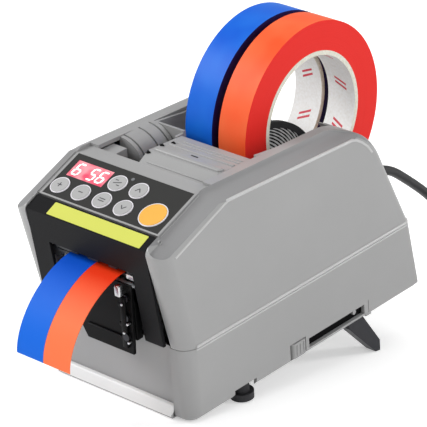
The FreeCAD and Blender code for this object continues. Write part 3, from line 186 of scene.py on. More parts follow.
def mouldedPlastic(name, colour, rough=0.45, grain=0.5, depth=0.02, drift=0.06, coat=0.0, specular=0.5):
    # a fine spark-eroded grain that breaks up the gloss, and a slow drift of tone over the large faces
    material, tree = newMaterial(name)
    fine = addNode(tree, "ShaderNodeTexNoise", {
        "Vector": objectPoint(tree, grain), "Scale": 1.0, "Detail": 3.0, "Roughness": 0.6})
    broad = addNode(tree, "ShaderNodeTexNoise", {
        "Vector": objectPoint(tree, plastic["driftSize"]), "Scale": 1.0, "Detail": 4.0})
    base = toLinear(colour)
    dark = [c * (1 - drift) for c in base[:3]] + [1]
    light = [min(1, c * (1 + drift)) for c in base[:3]] + [1]
    tone = addNode(tree, "ShaderNodeMixRGB", {"Fac": broad.outputs["Fac"], "Color1": dark, "Color2": light})
    roughness = addNode(tree, "ShaderNodeMapRange", {
        "Value": fine.outputs["Fac"], "From Min": 0.3, "From Max": 0.7,
        "To Min": rough - plastic["smoother"], "To Max": rough + plastic["rougher"]})
    bump = addNode(tree, "ShaderNodeBump", {
        "Height": fine.outputs["Fac"], "Strength": plastic["bump"], "Distance": depth * mm})
    finishMaterial(tree, {
        "Base Color": tone, "Roughness": roughness, "Normal": bump,
        "Coat Weight": coat, "Coat Roughness": plastic["coatRough"], "Specular IOR Level": specular})
    return material


grinding = {"grain": 0.25, "smoother": 0.08, "rougher": 0.12, "bump": 0.2, "depth": 0.01}


def groundSteel(name, colour="#c9cacc", rough=0.3):
    # a fine grinding grain: bright, but with soft-edged reflections
    material, tree = newMaterial(name)
    grain = addNode(tree, "ShaderNodeTexNoise", {
        "Vector": objectPoint(tree, grinding["grain"]), "Scale": 1.0, "Detail": 2.0})
    roughness = addNode(tree, "ShaderNodeMapRange", {
        "Value": grain.outputs["Fac"], "To Min": rough - grinding["smoother"],
        "To Max": rough + grinding["rougher"]})
    bump = addNode(tree, "ShaderNodeBump", {
        "Height": grain.outputs["Fac"], "Strength": grinding["bump"], "Distance": grinding["depth"] * mm})
    finishMaterial(tree, {
        "Base Color": toLinear(colour), "Metallic": 1.0, "Roughness": roughness, "Normal": bump})
    return material


# One turn of such tape is about 0.15 mm thick; the rings are drawn coarser, so that they show.
winding = {"ring": 0.32, "ringDepth": 0.04, "ringBump": 0.4, "driftSize": 30, "rimRough": 0.44,
           "faceRough": 0.55, "specular": 0.16}


def woundTape(name, rimColours, faceColours):
    # smooth film on the rim, fine winding rings on the side faces
    material, tree = newMaterial(name)
    onFace = onSideFaces(tree)
    point = pointFromRollAxis(tree)
    flat = addNode(tree, "ShaderNodeVectorMath", {0: point, 1: (0, 1, 1)}, operation="MULTIPLY")
    radius = addNode(tree, "ShaderNodeVectorMath", {0: flat}, operation="LENGTH")
    turns = addNode(tree, "ShaderNodeMath", {
        0: radius.outputs["Value"], 1: 1 / (winding["ring"] * mm)}, operation="MULTIPLY")
    rings = addNode(tree, "ShaderNodeTexNoise", {
        "W": turns, "Scale": 1.0, "Detail": 4.0, "Roughness": 0.7}, noise_dimensions="1D")
    face = addNode(tree, "ShaderNodeValToRGB", {"Fac": rings.outputs["Fac"]},
                   stops=[(0.3, faceColours[0]), (0.7, faceColours[1])])
    drift = addNode(tree, "ShaderNodeTexNoise", {
        "Vector": objectPoint(tree, winding["driftSize"]), "Scale": 1.0, "Detail": 2.0})
    rim = addNode(tree, "ShaderNodeValToRGB", {"Fac": drift.outputs["Fac"]},
                  stops=[(0.3, rimColours[0]), (0.72, rimColours[1])])
    colour = addNode(tree, "ShaderNodeMixRGB", {"Fac": onFace, "Color1": rim, "Color2": face})
    roughness = addNode(tree, "ShaderNodeMapRange", {
        "Value": onFace, "To Min": winding["rimRough"], "To Max": winding["faceRough"]})
    height = addNode(tree, "ShaderNodeMath", {0: rings.outputs["Fac"], 1: onFace}, operation="MULTIPLY")
    bump = addNode(tree, "ShaderNodeBump", {
        "Height": height, "Strength": winding["ringBump"], "Distance": winding["ringDepth"] * mm})
    finishMaterial(tree, {
        "Base Color": colour, "Roughness": roughness, "Normal": bump,
        "Specular IOR Level": winding["specular"]})
    return material


film = {"outlet": -105, "bow": -137, "rippleSize": 6, "rippleDepth": 0.06, "bump": 0.25,
        "rough": (0.48, 0.58), "specular": 0.12}


def tapeFilm(name, nearOutlet, paintedSheenOnBow):
    # a hanging strip: saturated where it leaves the machine, paler where it bows out as a painted sheen, with
    # a slight ripple
    material, tree = newMaterial(name)
    coords = addNode(tree, "ShaderNodeTexCoord")
    point = addNode(tree, "ShaderNodeSeparateXYZ", {"Vector": coords.outputs["Object"]})
    along = addNode(tree, "ShaderNodeMapRange", {
        "Value": point.outputs["Y"], "From Min": film["outlet"] * mm, "From Max": film["bow"] * mm})
    tone = addNode(tree, "ShaderNodeValToRGB", {"Fac": along},
                   stops=[(0.0, nearOutlet), (0.75, paintedSheenOnBow), (1.0, paintedSheenOnBow)])
    ripple = addNode(tree, "ShaderNodeTexNoise", {
        "Vector": objectPoint(tree, film["rippleSize"]), "Scale": 1.0, "Detail": 2.0})
    bump = addNode(tree, "ShaderNodeBump", {
        "Height": ripple.outputs["Fac"], "Strength": film["bump"], "Distance": film["rippleDepth"] * mm})
    roughness = addNode(tree, "ShaderNodeMapRange", {
        "Value": ripple.outputs["Fac"], "To Min": film["rough"][0], "To Max": film["rough"][1]})
    finishMaterial(tree, {
        "Base Color": tone, "Roughness": roughness, "Normal": bump, "Specular IOR Level": film["specular"]})
    return material


# Marks in the bore: pairs of slanted bars. Places along and across a bore are shares of its repeat and width.
card = {"repeats": 9, "from": 2.6, "to": 23, "slant": 0.35, "bars": (0.6, 0.72), "barHalf": 0.028,
        "bandMiddle": 0.5, "bandHalf": 0.2, "ink": "#d8404f", "fibre": 1.5, "fibreDepth": 0.05, "bump": 0.3,
        "rough": 0.6}


def coreCard(name):
    # white lined card: a cream layered edge, and a pale bore with rows of small red bars
    material, tree = newMaterial(name)
    place = addNode(tree, "ShaderNodeSeparateXYZ", {"Vector": pointFromRollAxis(tree)})
    angle = addNode(tree, "ShaderNodeMath", {
        0: place.outputs["Z"], 1: place.outputs["Y"]}, operation="ARCTAN2")
    around = addNode(tree, "ShaderNodeMath", {0: angle, 1: card["repeats"] / (2 * pi)}, operation="MULTIPLY")
    cell = addNode(tree, "ShaderNodeMath", {0: around}, operation="FRACT")
    across = addNode(tree, "ShaderNodeMath", {0: place.outputs["X"]}, operation="ABSOLUTE")
    column = addNode(tree, "ShaderNodeMapRange", {
        "Value": across, "From Min": card["from"] * mm, "From Max": card["to"] * mm})
    slanted = addNode(tree, "ShaderNodeMath", {
        0: column, 1: card["slant"], 2: cell}, operation="MULTIPLY_ADD")

    def bar(value, middle, half):  # 1 where the value is within half of the middle
        away = addNode(tree, "ShaderNodeMath", {0: value, 1: middle}, operation="SUBTRACT")
        size = addNode(tree, "ShaderNodeMath", {0: away}, operation="ABSOLUTE")
        return addNode(tree, "ShaderNodeMath", {0: size, 1: half}, operation="LESS_THAN")

    first, second = (bar(slanted, middle, card["barHalf"]) for middle in card["bars"])
    stripes = addNode(tree, "ShaderNodeMath", {0: first, 1: second}, operation="MAXIMUM")
    band = bar(column, card["bandMiddle"], card["bandHalf"])
    mark = addNode(tree, "ShaderNodeMath", {0: stripes, 1: band}, operation="MULTIPLY")
    fibre = addNode(tree, "ShaderNodeTexNoise", {
        "Vector": objectPoint(tree, card["fibre"]), "Scale": 1.0, "Detail": 4.0})
    white = addNode(tree, "ShaderNodeValToRGB", {"Fac": fibre.outputs["Fac"]},
                    stops=[(0.3, "#f4f2ef"), (0.7, "#ffffff")])
    layers = addNode(tree, "ShaderNodeValToRGB", {"Fac": fibre.outputs["Fac"]},
                     stops=[(0.3, "#d9d5c4"), (0.7, "#ecebdf")])
    ink = toLinear(card["ink"])
    printed = addNode(tree, "ShaderNodeMixRGB", {"Fac": mark, "Color1": white, "Color2": ink})
    onEdge = onSideFaces(tree)
    colour = addNode(tree, "ShaderNodeMixRGB", {"Fac": onEdge, "Color1": printed, "Color2": layers})
    bump = addNode(tree, "ShaderNodeBump", {
        "Height": fibre.outputs["Fac"], "Strength": card["bump"], "Distance": card["fibreDepth"] * mm})
    finishMaterial(tree, {"Base Color": colour, "Roughness": card["rough"], "Normal": bump})
    return material


def glowing(name, colour, glow, strength, cloud=7, rough=0.25):
    # lit from within, a little brighter in soft clouds a few millimetres wide
    material, tree = newMaterial(name)
    clouds = addNode(tree, "ShaderNodeTexNoise", {
        "Vector": objectPoint(tree, cloud), "Scale": 1.0, "Detail": 1.0})
    tone = addNode(tree, "ShaderNodeValToRGB", {"Fac": clouds.outputs["Fac"]},
                   stops=[(0.35, colour), (0.65, glow)])
    finishMaterial(tree, {
        "Base Color": tone, "Roughness": rough, "Emission Color": tone, "Emission Strength": strength})
    return material


finishes = {
    # the case: spark-eroded ABS, an even satin grey with broad soft highlights
    "casing": mouldedPlastic("ABS casing, satin mid grey with fine grain", "#a0a0a0", rough=0.37),
    "greyPlastic": mouldedPlastic("well tray, grey ABS", "#9d9d9d"),
    # painted light on the same grey plastic: painted shade on the shoulders, where the case reflects a dark
    # band, and painted highlights on the beads and the lip
    "casingShade": mouldedPlastic("ABS casing, shoulder band in painted shade, darker grey", "#8b8b8c", rough=0.32),
    "bead": mouldedPlastic("ABS casing bead, pale grey as a painted highlight", "#c4c4c4", rough=0.3, grain=0.3,
                           depth=0.01),
    "lip": mouldedPlastic("front lip, light grey ABS", "#f0f0ef", rough=0.4),
    # dark mouldings: low specular, so that they stay black beside the pale case
    "cover": mouldedPlastic("ABS front cover, black with spark grain", "#131315", rough=0.5, grain=0.6,
                            specular=0.1),
    "guard": mouldedPlastic("glass filled nylon guard, black", "#0b0b0c", grain=0.8, specular=0.1),
    "leg": mouldedPlastic("leg, black ABS", "#212127", rough=0.4, specular=0.25),
    "outlet": mouldedPlastic("outlet guide, dark grey acetal", "#3c3e41", rough=0.4, grain=0.4, specular=0.3),
    "bar": mouldedPlastic("outlet bar, light grey acetal", "#8f9194", rough=0.3),
    "rib": mouldedPlastic("divider ribs, light grey ABS", "#c9cbcc", rough=0.4, grain=0.3, depth=0.01),
    "blind": mouldedPlastic("slot backing, black sheet as painted shade", "#0a0a0b", rough=0.9, grain=0.4, specular=0.1),
    # the panel: printed matt film, nearly without highlights, with dull silicone keys and crisp print
    "panel": mouldedPlastic("polycarbonate panel film, matt charcoal", "#2d2d2c", rough=0.55, grain=0.3,
                            depth=0.01, specular=0.25),
    "keyGrey": mouldedPlastic("key cap, light grey silicone", "#adadad", rough=0.5, grain=0.25, depth=0.01),
    "keyOrange": mouldedPlastic("key cap, amber silicone", "#f2b445", grain=0.25, depth=0.01),
    "keyRing": mouldedPlastic("key rim, white print", "#e9e6ec", rough=0.4, grain=0.3, depth=0.01),
    "keyMark": mouldedPlastic("key symbol, dark print", "#4d4d50", rough=0.5, grain=0.3, depth=0.01),
    "lamp": mouldedPlastic("indicator lamp, unlit clear lens", "#77797c", rough=0.2, grain=0.6, coat=0.3),
    "label": mouldedPlastic("polyester label, yellow", "#d3d757", rough=0.4, depth=0.006, drift=0.03),
    # rubber and sheath: soft and dull
    "rubber": mouldedPlastic("roller rubber, dark grey", "#2b2c2e", rough=0.75, grain=0.3, depth=0.03,
                             specular=0.2),
    "foot": mouldedPlastic("foot rubber, black", "#242427", rough=0.7, grain=0.3, depth=0.03),
    "cord": mouldedPlastic("cord sheath, black PVC", "#1f1f21", rough=0.5, grain=0.3),
    # inside parts, half hidden: dull blocks and boards, bright metal, dark screws
    "electronics": mouldedPlastic("electronic parts, black epoxy", "#26262a", rough=0.4),
    "board": mouldedPlastic("circuit board, green solder mask", "#1f5a37", rough=0.35, grain=1.2, drift=0.2),
    "gear": mouldedPlastic("gear nylon, natural", "#dcd8cc"),
    "steel": groundSteel("steel, ground"),
    "blackSteel": groundSteel("steel screws, black oxide", "#3a3a3d", 0.35),
    # tape: a strong even colour with little gloss, and deeper, finely ringed sides on a roll; the blue roll's
    # dark navy sides are partly the film's deeper colour and partly painted shade from the narrow gap between
    # the rolls
    "tapeBlue": woundTape("wound vinyl tape, blue", ("#0659d2", "#1a72e0"), ("#140e3c", "#211860")),
    "tapeOrange": woundTape("wound vinyl tape, orange with red side", ("#fb5a2c", "#fb7444"),
                            ("#e62420", "#f0342c")),
    # the paler colour on the bow of each strip is a painted sheen
    "filmBlue": tapeFilm("vinyl film strip, blue", "#0455d0", "#1268dc"),
    "filmOrange": tapeFilm("vinyl film strip, orange", "#f83a12", "#fb7a4c"),
    "core": coreCard("tape core, white lined card"),
    # the display: a pinkish red glow behind smoked acrylic, with nearly white figures
    "display": glowing("display window, red smoked acrylic lit from behind", "#c8455e", "#d98890", 0.55),
    "segment": glowing("display segment, lit", "#ffd9d2", "#fff4ef", 1.2),
}

nodesWith = {
    "casing": "base_tray upper_cover feed_lid leg_catch_left leg_catch_right",
    "greyPlastic": "tape_well",
    "cover": "front_cover rocker_housing power_rocker",
    "guard": "cutter_guard",
    "outlet": "outlet_guide outlet_plate",
    "leg": "leg_left leg_right",
    "foot": "rubber_feet",
    "panel": "control_panel",
    "keyGrey": "key_plus key_minus key_mode key_down key_set key_up",
    "keyOrange": "key_start",
    "display": "display_window",
    "lamp": "indicator_lamp",
    "electronics": "display_module key_switches",
    "board": "control_board main_board",
    "tapeBlue": "tape_blue",
    "tapeOrange": "tape_orange",
    "core": "core_blue core_orange",
    "filmBlue": "supply_blue cut_strip_blue",
    "filmOrange": "supply_orange cut_strip_orange",
    "rubber": "support_roller_front support_roller_rear drive_roller press_roller roll_divider",
    "gear": "drive_gear motor_pinion",
    "steel": "support_shafts side_frame_left side_frame_right drive_shaft feed_motor moving_blade"
             " blade_carrier fixed_blade cutter_solenoid power_supply",
    "blackSteel": "screws",
    "cord": "strain_relief power_cord cord_coil mains_plug",
}
nodeFinish = {name: finish for finish, names in nodesWith.items() for name in names.split()}
for name, node in nodes.items():
    node.data.materials.clear()
    node.data.materials.append(finishes[nodeFinish[name]])
print("finishes are on", len(nodes), "nodes")


# Tools for the added pieces


def objectMode():
    bpy.ops.object.mode_set(mode="OBJECT")


def deselectAll():
    if bpy.context.object and bpy.context.object.mode != "OBJECT":
        objectMode()
    bpy.ops.object.select_all(action="DESELECT")


def makeActive(piece):
    deselectAll()
    piece.select_set(True)
    bpy.context.view_layer.objects.active = piece


def settle(piece):
    makeActive(piece)
    bpy.ops.object.transform_apply(location=True, rotation=True, scale=True)
    return piece


def applyModifiers(piece):
    makeActive(piece)
    for modifier in list(piece.modifiers):
        bpy.ops.object.modifier_apply(modifier=modifier.name)


def copyOf(piece, name):
    twin = bpy.data.objects.new(name, piece.data.copy())
    twin.data.name = name
    scene.collection.objects.link(twin)
    return twin


def moved(piece, at=(0, 0, 0), turnZ=0):
    piece.data.transform(Matrix.Translation(at) @ Matrix.Rotation(radians(turnZ), 4, "Z"))
    return piece


def joined(pieces):
    deselectAll()
    for piece in pieces:
        piece.select_set(True)
    bpy.context.view_layer.objects.active = pieces[0]
    if len(pieces) > 1:
        bpy.ops.object.join()
    return bpy.context.object


def smoothShade(angle):
    bpy.ops.object.shade_smooth_by_angle(angle=radians(angle))


def editMode(piece, action="SELECT"):
    makeActive(piece)
    bpy.ops.object.mode_set(mode="EDIT")
    bpy.ops.mesh.select_all(action=action)


def pickFaces(piece, test):  # leaves the piece in edit mode with the chosen faces selected
    editMode(piece, "DESELECT")
    bpy.ops.mesh.select_mode(type="FACE")
    objectMode()
    for face in piece.data.polygons:
        face.select = bool(test(face.center, face.normal))
    bpy.ops.object.mode_set(mode="EDIT")


def pickEdges(piece, test):  # the same by an edge's middle and direction
    editMode(piece, "DESELECT")
    bpy.ops.mesh.select_mode(type="EDGE")
    objectMode()
    points = piece.data.vertices
    for edge in piece.data.edges:
        start, end = (points[v].co for v in edge.vertices)
        edge.select = bool(test((start + end) / 2, (end - start).normalized()))
    bpy.ops.object.mode_set(mode="EDIT")


def bevelEdges(piece, test, width, segments=2):
    pickEdges(piece, test)
    bpy.ops.mesh.bevel(offset=width, segments=segments, affect="EDGES")
    objectMode()
    return piece


def outward(piece):
    editMode(piece)
    bpy.ops.mesh.remove_doubles(threshold=0.001)
    bpy.ops.mesh.normals_make_consistent(inside=False)
    objectMode()
    return piece


def block(low, high):
    deselectAll()
    low, high = Vector(low), Vector(high)
    bpy.ops.mesh.primitive_cube_add(size=1, location=(low + high) / 2, scale=high - low)
    return settle(bpy.context.object)


def softBlock(low, high, soft, segments=2, allRound=False):  # the edges of its foot stay sharp by default
    foot = low[2] + 1e-4
    return bevelEdges(block(low, high), lambda middle, along: allRound or middle.z > foot, soft, segments)


def softRod(radius, long, soft, sides):  # upright, with soft rims
    deselectAll()
    bpy.ops.mesh.primitive_cylinder_add(vertices=sides, radius=radius, depth=long)
    return bevelEdges(settle(bpy.context.object), lambda middle, along: abs(along.z) < 0.5, soft)


def flatRing(radius, wall, tall, sides):
    deselectAll()
    bpy.ops.mesh.primitive_circle_add(vertices=sides, radius=radius, fill_type="NGON")
    piece = bpy.context.object
    pickFaces(piece, lambda middle, normal: True)
    bpy.ops.mesh.inset(thickness=wall)
    bpy.ops.mesh.delete(type="FACE")
    bpy.ops.mesh.select_all(action="SELECT")
    bpy.ops.mesh.extrude_region_move(TRANSFORM_OT_translate={"value": (0, 0, tall)})
    objectMode()
    return outward(piece)


def plate(outline, thick, soft=0.0):  # a flat outline, given a thickness upwards
    deselectAll()
    bpy.ops.mesh.primitive_circle_add(vertices=len(outline), radius=1, fill_type="NGON")
    piece = bpy.context.object
    for point, place in zip(piece.data.vertices, outline):
        point.co = (*place, 0)
    pickFaces(piece, lambda middle, normal: True)
    bpy.ops.mesh.extrude_region_move(TRANSFORM_OT_translate={"value": (0, 0, thick)})
    objectMode()
    outward(piece)
    if soft:
        bevelEdges(piece, lambda middle, along: middle.z > thick * 0.9, soft)
    return piece


def curveThrough(route, radius, name, kind, roundness):
    data = bpy.data.curves.new(name, "CURVE")
    data.dimensions = "3D"
    line = data.splines.new(kind)
    line.points.add(len(route) - 1)
    for point, place in zip(line.points, route):
        point.co = (*place, 1)
    data.bevel_depth = radius
    data.bevel_resolution = roundness
    piece = bpy.data.objects.new(name, data)
    scene.collection.objects.link(piece)
    return piece


def tube(route, radius, name):
    piece = curveThrough(route, radius, name, "POLY", 3)
    piece.data.use_fill_caps = True
    makeActive(piece)
    bpy.ops.object.convert(target="MESH")
    return bpy.context.object


def dress(piece, name, body, finish, smoothAngle=35):
    # names a finished piece, stands it up, gives it its finish and hands it to the CAD body that carries it
    settle(piece)
    piece.name = name
    piece.data.name = name
    piece.data.transform(standUp)
    piece.data.materials.clear()
    piece.data.materials.append(finishes[finish])
    smoothShade(smoothAngle)
    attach(piece, body)
    return piece


# Panel: key rims, key symbols and the lit figures, drawn flat and laid on its slope

panelStance = Matrix.Translation((0, -103.8, 117.4)) @ Matrix.Rotation(radians(20.8), 4, "X")
panelKeys = {  # across, up and radius
    "key_plus": (-37.2, 8.1, 5.3), "key_minus": (-20.9, 8.1, 5.3), "key_mode": (-4.6, 8.1, 5.3),
    "key_down": (11.7, 8.1, 5.3), "key_set": (-4.6, 22.3, 5.3), "key_up": (11.7, 22.3, 5.3),
    "key_start": (32.4, 10.5, 8.1),
}
keyRim = {"gap": 0.08, "wall": 0.62, "tall": 0.6, "soft": 0.2, "sides": 48}
keyStroke = {"width": 0.62, "tall": 0.08, "soft": 0.03, "foot": 0.79}
keySymbols = {  # across, up, length and turn of each bar
    "key_plus": [(0, 0, 3.2, 0), (0, 0, 3.2, 90)],
    "key_minus": [(0, 0, 3.2, 0)],
    "key_up": [(-0.95, 0, 3.0, 52), (0.85, 0, 3.0, -52)],
    "key_down": [(-0.95, 0, 3.0, -52), (0.85, 0, 3.0, 52)],
    "key_mode": [(0, 0.8, 4.4, 0), (0, -0.8, 4.4, 0)],
    "key_set": [(0, 0, 5.4, 20), (-1.5, 1.7, 2.2, 0), (1.4, -1.7, 2.2, 0)],
}


def keyRims():
    def onTopRim(middle, along):
        return middle.z > keyRim["tall"] * 0.9 and abs(along.dot(middle.xy.normalized().to_3d())) < 0.5

    for name, (across, up, radius) in panelKeys.items():
        outer = radius + keyRim["gap"] + keyRim["wall"]
        piece = flatRing(outer, keyRim["wall"], keyRim["tall"], keyRim["sides"])
        bevelEdges(piece, onTopRim, keyRim["soft"])
        moved(piece, (across, up, 0))
        piece.data.transform(panelStance)
        dress(piece, name.replace("key_", "rimOf"), "casing", "keyRing")
    print("key rims are on")


def keyMarks():
    for name, bars in keySymbols.items():
        across, up = panelKeys[name][:2]
        pieces = []
        for x, y, length, turn in bars:
            long, wide = length / 2, keyStroke["width"] / 2
            bar = softBlock((-long, -wide, 0), (long, wide, keyStroke["tall"]), keyStroke["soft"])
            pieces.append(moved(bar, (across + x, up + y, keyStroke["foot"]), turn))
        piece = joined(pieces)
        piece.data.transform(panelStance)
        dress(piece, name.replace("key_", "symbolOf"), name, "keyMark")
    print("key symbols are on")


# Figures of seven segments. "shown" gives each figure and its place, "lit" the segments that burn.
figure = {"height": 8.4, "width": 4.2, "stroke": 1.05, "gap": 0.2, "lean": 8, "up": 22.4, "lift": -0.09,
          "tall": 0.07, "shown": [("6", -35.2), ("5", -23.8), ("6", -17.2)],
          "lit": {"5": "acdfg", "6": "acdefg"}}


def litFigures():
    quarter, half, wide = figure["height"] / 4, figure["width"] / 2, figure["stroke"] / 2
    segments = {"a": (0, 2 * quarter, 0), "g": (0, 0, 0), "d": (0, -2 * quarter, 0),
                "f": (-half, quarter, 90), "b": (half, quarter, 90), "e": (-half, -quarter, 90),
                "c": (half, -quarter, 90)}
    bars = []
    for character, across in figure["shown"]:
        for letter in figure["lit"][character]:
            x, y, turn = segments[letter]
            tip = (half if turn == 0 else quarter) - figure["gap"]
            outline = [(-tip, 0), (wide - tip, -wide), (tip - wide, -wide),
                       (tip, 0), (tip - wide, wide), (wide - tip, wide)]
            bar = moved(plate(outline, figure["tall"]), (x, y, 0), turn)
            for point in bar.data.vertices:
                point.co.x += point.co.y * sin(radians(figure["lean"])) + across
            bars.append(moved(bar, (0, figure["up"], figure["lift"])))
    piece = joined(bars)
    piece.data.transform(panelStance)
    dress(piece, "litFigures", "casing", "segment")
    print("display figures are lit")


# Front cover: the plain yellow label on its upper band

label = {"left": -30.4, "right": 40.9, "from": 0.9, "to": 10.0, "foot": 0.02, "top": 0.18, "corner": 0.6}
coverBand = Matrix.Translation((0, -116, 112)) @ Matrix.Rotation(radians(24.0), 4, "X")


def frontLabel():
    piece = block((label["left"], label["from"], label["foot"]), (label["right"], label["to"], label["top"]))
    bevelEdges(piece, lambda middle, along: abs(along.z) > 0.9, label["corner"], 4)
    piece.data.transform(coverBand)
    dress(piece, "yellowLabel", "front_cover", "label")
    print("label is on")


# The two cut strips hang out of the outlet in a curve

strip = {"halfWidth": 10.25, "middle": 10.35, "start": (-102.6, 88.5), "level": 5, "reach": 53, "drop": 42.5,
         "bow": 1.16, "thick": 0.4, "steps": 26}


def stripPoint(part):
    angle = part * pi / 2
    y = strip["start"][0] - strip["level"] - (strip["reach"] - strip["level"]) * sin(angle) ** strip["bow"]
    z = strip["start"][1] - strip["drop"] * (1 - cos(angle) ** strip["bow"])
    return Vector((0, y, z))


def cutStrip(side, colour):
    route = [Vector((0, *strip["start"]))]
    route += [stripPoint(k / strip["steps"]) for k in range(strip["steps"] + 1)]
    deselectAll()
    bpy.ops.mesh.primitive_plane_add(size=1)
    piece = bpy.context.object
    centre = side * strip["middle"]
    for point in piece.data.vertices:
        place = route[0] if point.co.y > 0 else route[1]
        across = centre - strip["halfWidth"] if point.co.x < 0 else centre + strip["halfWidth"]
        point.co = (across, place.y, place.z)
    pickEdges(piece, lambda middle, along: abs(middle.y - route[1].y) < 0.01)
    for last, following in zip(route[1:], route[2:]):
        bpy.ops.mesh.extrude_region_move(TRANSFORM_OT_translate={"value": following - last})
    objectMode()
    outward(piece)
    wall = piece.modifiers.new("film", "SOLIDIFY")
    wall.thickness = strip["thick"]
    wall.offset = 0
    applyModifiers(piece)
    dress(piece, "hangingStrip" + colour, "casing", "film" + colour, 40)
    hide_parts("cut_strip_" + colour.lower())
    print(colour.lower(), "strip hangs")


# Front lip, a light grey part made near white as a painted highlight for the light on its top, and a black
# backing behind each side slot

lip = {"half": 45, "front": -103.85, "back": -100.25, "low": 1.0, "high": 9.6, "round": 1.1}
slotBlind = {"back": 55.36, "face": 55.48, "front": -1.5, "rear": 49.5, "low": 3.5, "high": 10.5,
             "soft": 0.03}


def lipCap():
    piece = softBlock((-lip["half"], lip["front"], lip["low"]), (lip["half"], lip["back"], lip["high"]),
                      lip["round"], 4, allRound=True)
    dress(piece, "lipCap", "casing", "lip")


def slotBlinds():
    b = slotBlind
    for side, name in ((-1, "Left"), (1, "Right")):
        left, right = sorted((side * b["back"], side * b["face"]))
        # painted shade: a black sheet in each slot stands in for the dark inside of the slot
        piece = softBlock((left, b["front"], b["low"]), (right, b["rear"], b["high"]), b["soft"], 1)
        dress(piece, "slotBlind" + name, "casing", "blind")
    print("lip and slot blinds are in")


# Roll divider: curved ribs on both faces

dividerRib = {"axisY": 28.4, "axisZ": 67.597, "inner": 30, "outer": 47.6, "foot": 0.95, "proud": 0.6,
              "wide": 2.6, "pitch": 5.6, "slant": 70, "curl": 1.3, "from": -60, "to": 180, "pieces": 8}


def dividerRibs():
    r = dividerRib
    sweep = r["to"] - r["from"]
    count = int(sweep / degrees(r["pitch"] / ((r["inner"] + r["outer"]) / 2)))
    outline = []
    for edge, order in ((-0.5, range(r["pieces"] + 1)), (0.5, range(r["pieces"], -1, -1))):
        for k in order:
            part = k / r["pieces"]
            radius = r["inner"] + (r["outer"] - r["inner"]) * part
            turn = radians(r["slant"]) * part ** r["curl"] + edge * r["wide"] / radius
            outline.append((radius * cos(turn), radius * sin(turn)))
    master = plate(outline, r["proud"])
    lieDown = Matrix(((0, 0, 1, r["foot"]), (1, 0, 0, r["axisY"]), (0, 1, 0, r["axisZ"]), (0, 0, 0, 1)))
    for side, name in ((-1, "Left"), (1, "Right")):
        turns = [r["from"] + sweep * k / (count - 1) for k in range(count)]
        piece = joined([moved(copyOf(master, "rib"), turnZ=turn) for turn in turns])
        piece.data.transform(lieDown)
        if side < 0:
            piece.data.transform(Matrix.Scale(-1, 4, (1, 0, 0)))
            outward(piece)
        dress(piece, "dividerRibs" + name, "casing", "rib")
    bpy.data.objects.remove(master)
    print("divider ribs are on:", count, "a side")


# Seam between the two halves of the case: a bead above and below the joint line

seam = {"side": 57.9, "front": -94, "rear": 93.6, "corner": 5, "cornerSteps": 6,
        "beads": {"upperBead": (47.1, 0.95), "lowerBead": (45.1, 0.6)}}  # height and radius


def seamRoute(height):
    side, rear, corner = seam["side"], seam["rear"], seam["corner"]
    route = [(side, seam["front"], height), (side, rear - corner, height)]
    for step in range(1, seam["cornerSteps"] + 1):
        angle = radians(90 / seam["cornerSteps"] * step)
        route.append((side - corner * (1 - cos(angle)), rear - corner + corner * sin(angle), height))
    return route + [(-x, y, z) for x, y, z in reversed(route)]


def seamBeads():
    for name, (height, radius) in seam["beads"].items():
        # the pale grey of the beads is a painted highlight along the seam
        dress(tube(seamRoute(height), radius, name), name, "casing", "bead", 50)
    print("seam beads are on")


# Edge beads: a fine raised line where each shoulder meets the side

edgeBead = {"across": 57.4, "radius": 1.0,
            "route": [(-105.2, 107.2), (-64.5, 122.95), (-61.2, 123.9), (-58, 123.85), (44.9, 118.45),
                      (48.6, 117.2), (53.4, 113.9), (58.2, 109.4), (61.6, 104.6)]}


def edgeBeads():
    for side, name in ((-1, "edgeBeadLeft"), (1, "edgeBeadRight")):
        route = [(side * edgeBead["across"], y, z) for y, z in edgeBead["route"]]
        # the pale grey of these beads is a painted highlight along each shoulder's edge
        dress(tube(route, edgeBead["radius"], name), name, "casing", "bead", 50)
    print("edge beads are on")


# Rear: ribs of the strain relief and the marks of the rocker; ridges on the plug

relief = {"start": (0, 90.31, 54.2), "dip": 8, "flange": 7.1, "length": 24, "rise": 0.35, "radii": (5.3, 3.8),
          "wide": 1.5, "soft": 0.3, "at": (10, 13.6, 17.2, 20.8, 24.4, 28)}
rockerMark = {"middle": (-28, 99.26, 30.95), "lean": 9.87, "apart": 3.6, "sunk": 0.1, "tall": 0.12,
              "soft": 0.05, "bar": (0.45, 1.6), "ring": (1.7, 0.5)}
plugRidge = {"left": 62.5, "right": 81.6, "low": 15.3, "high": 16.2, "wide": 1.3, "soft": 0.4,
             "at": (190, 193, 196, 199, 202)}


def reliefRibs():
    thick, thin = relief["radii"]
    ribs = []
    for out in relief["at"]:
        part = (out - relief["flange"]) / relief["length"]
        radius = thick + (thin - thick) * part + relief["rise"]
        ribs.append(moved(softRod(radius, relief["wide"], relief["soft"], 32), (0, 0, out)))
    piece = joined(ribs)
    dip = Matrix.Rotation(radians(-90 - relief["dip"]), 4, "X")
    piece.data.transform(Matrix.Translation(relief["start"]) @ dip)
    dress(piece, "reliefRibs", "casing", "cord", 50)


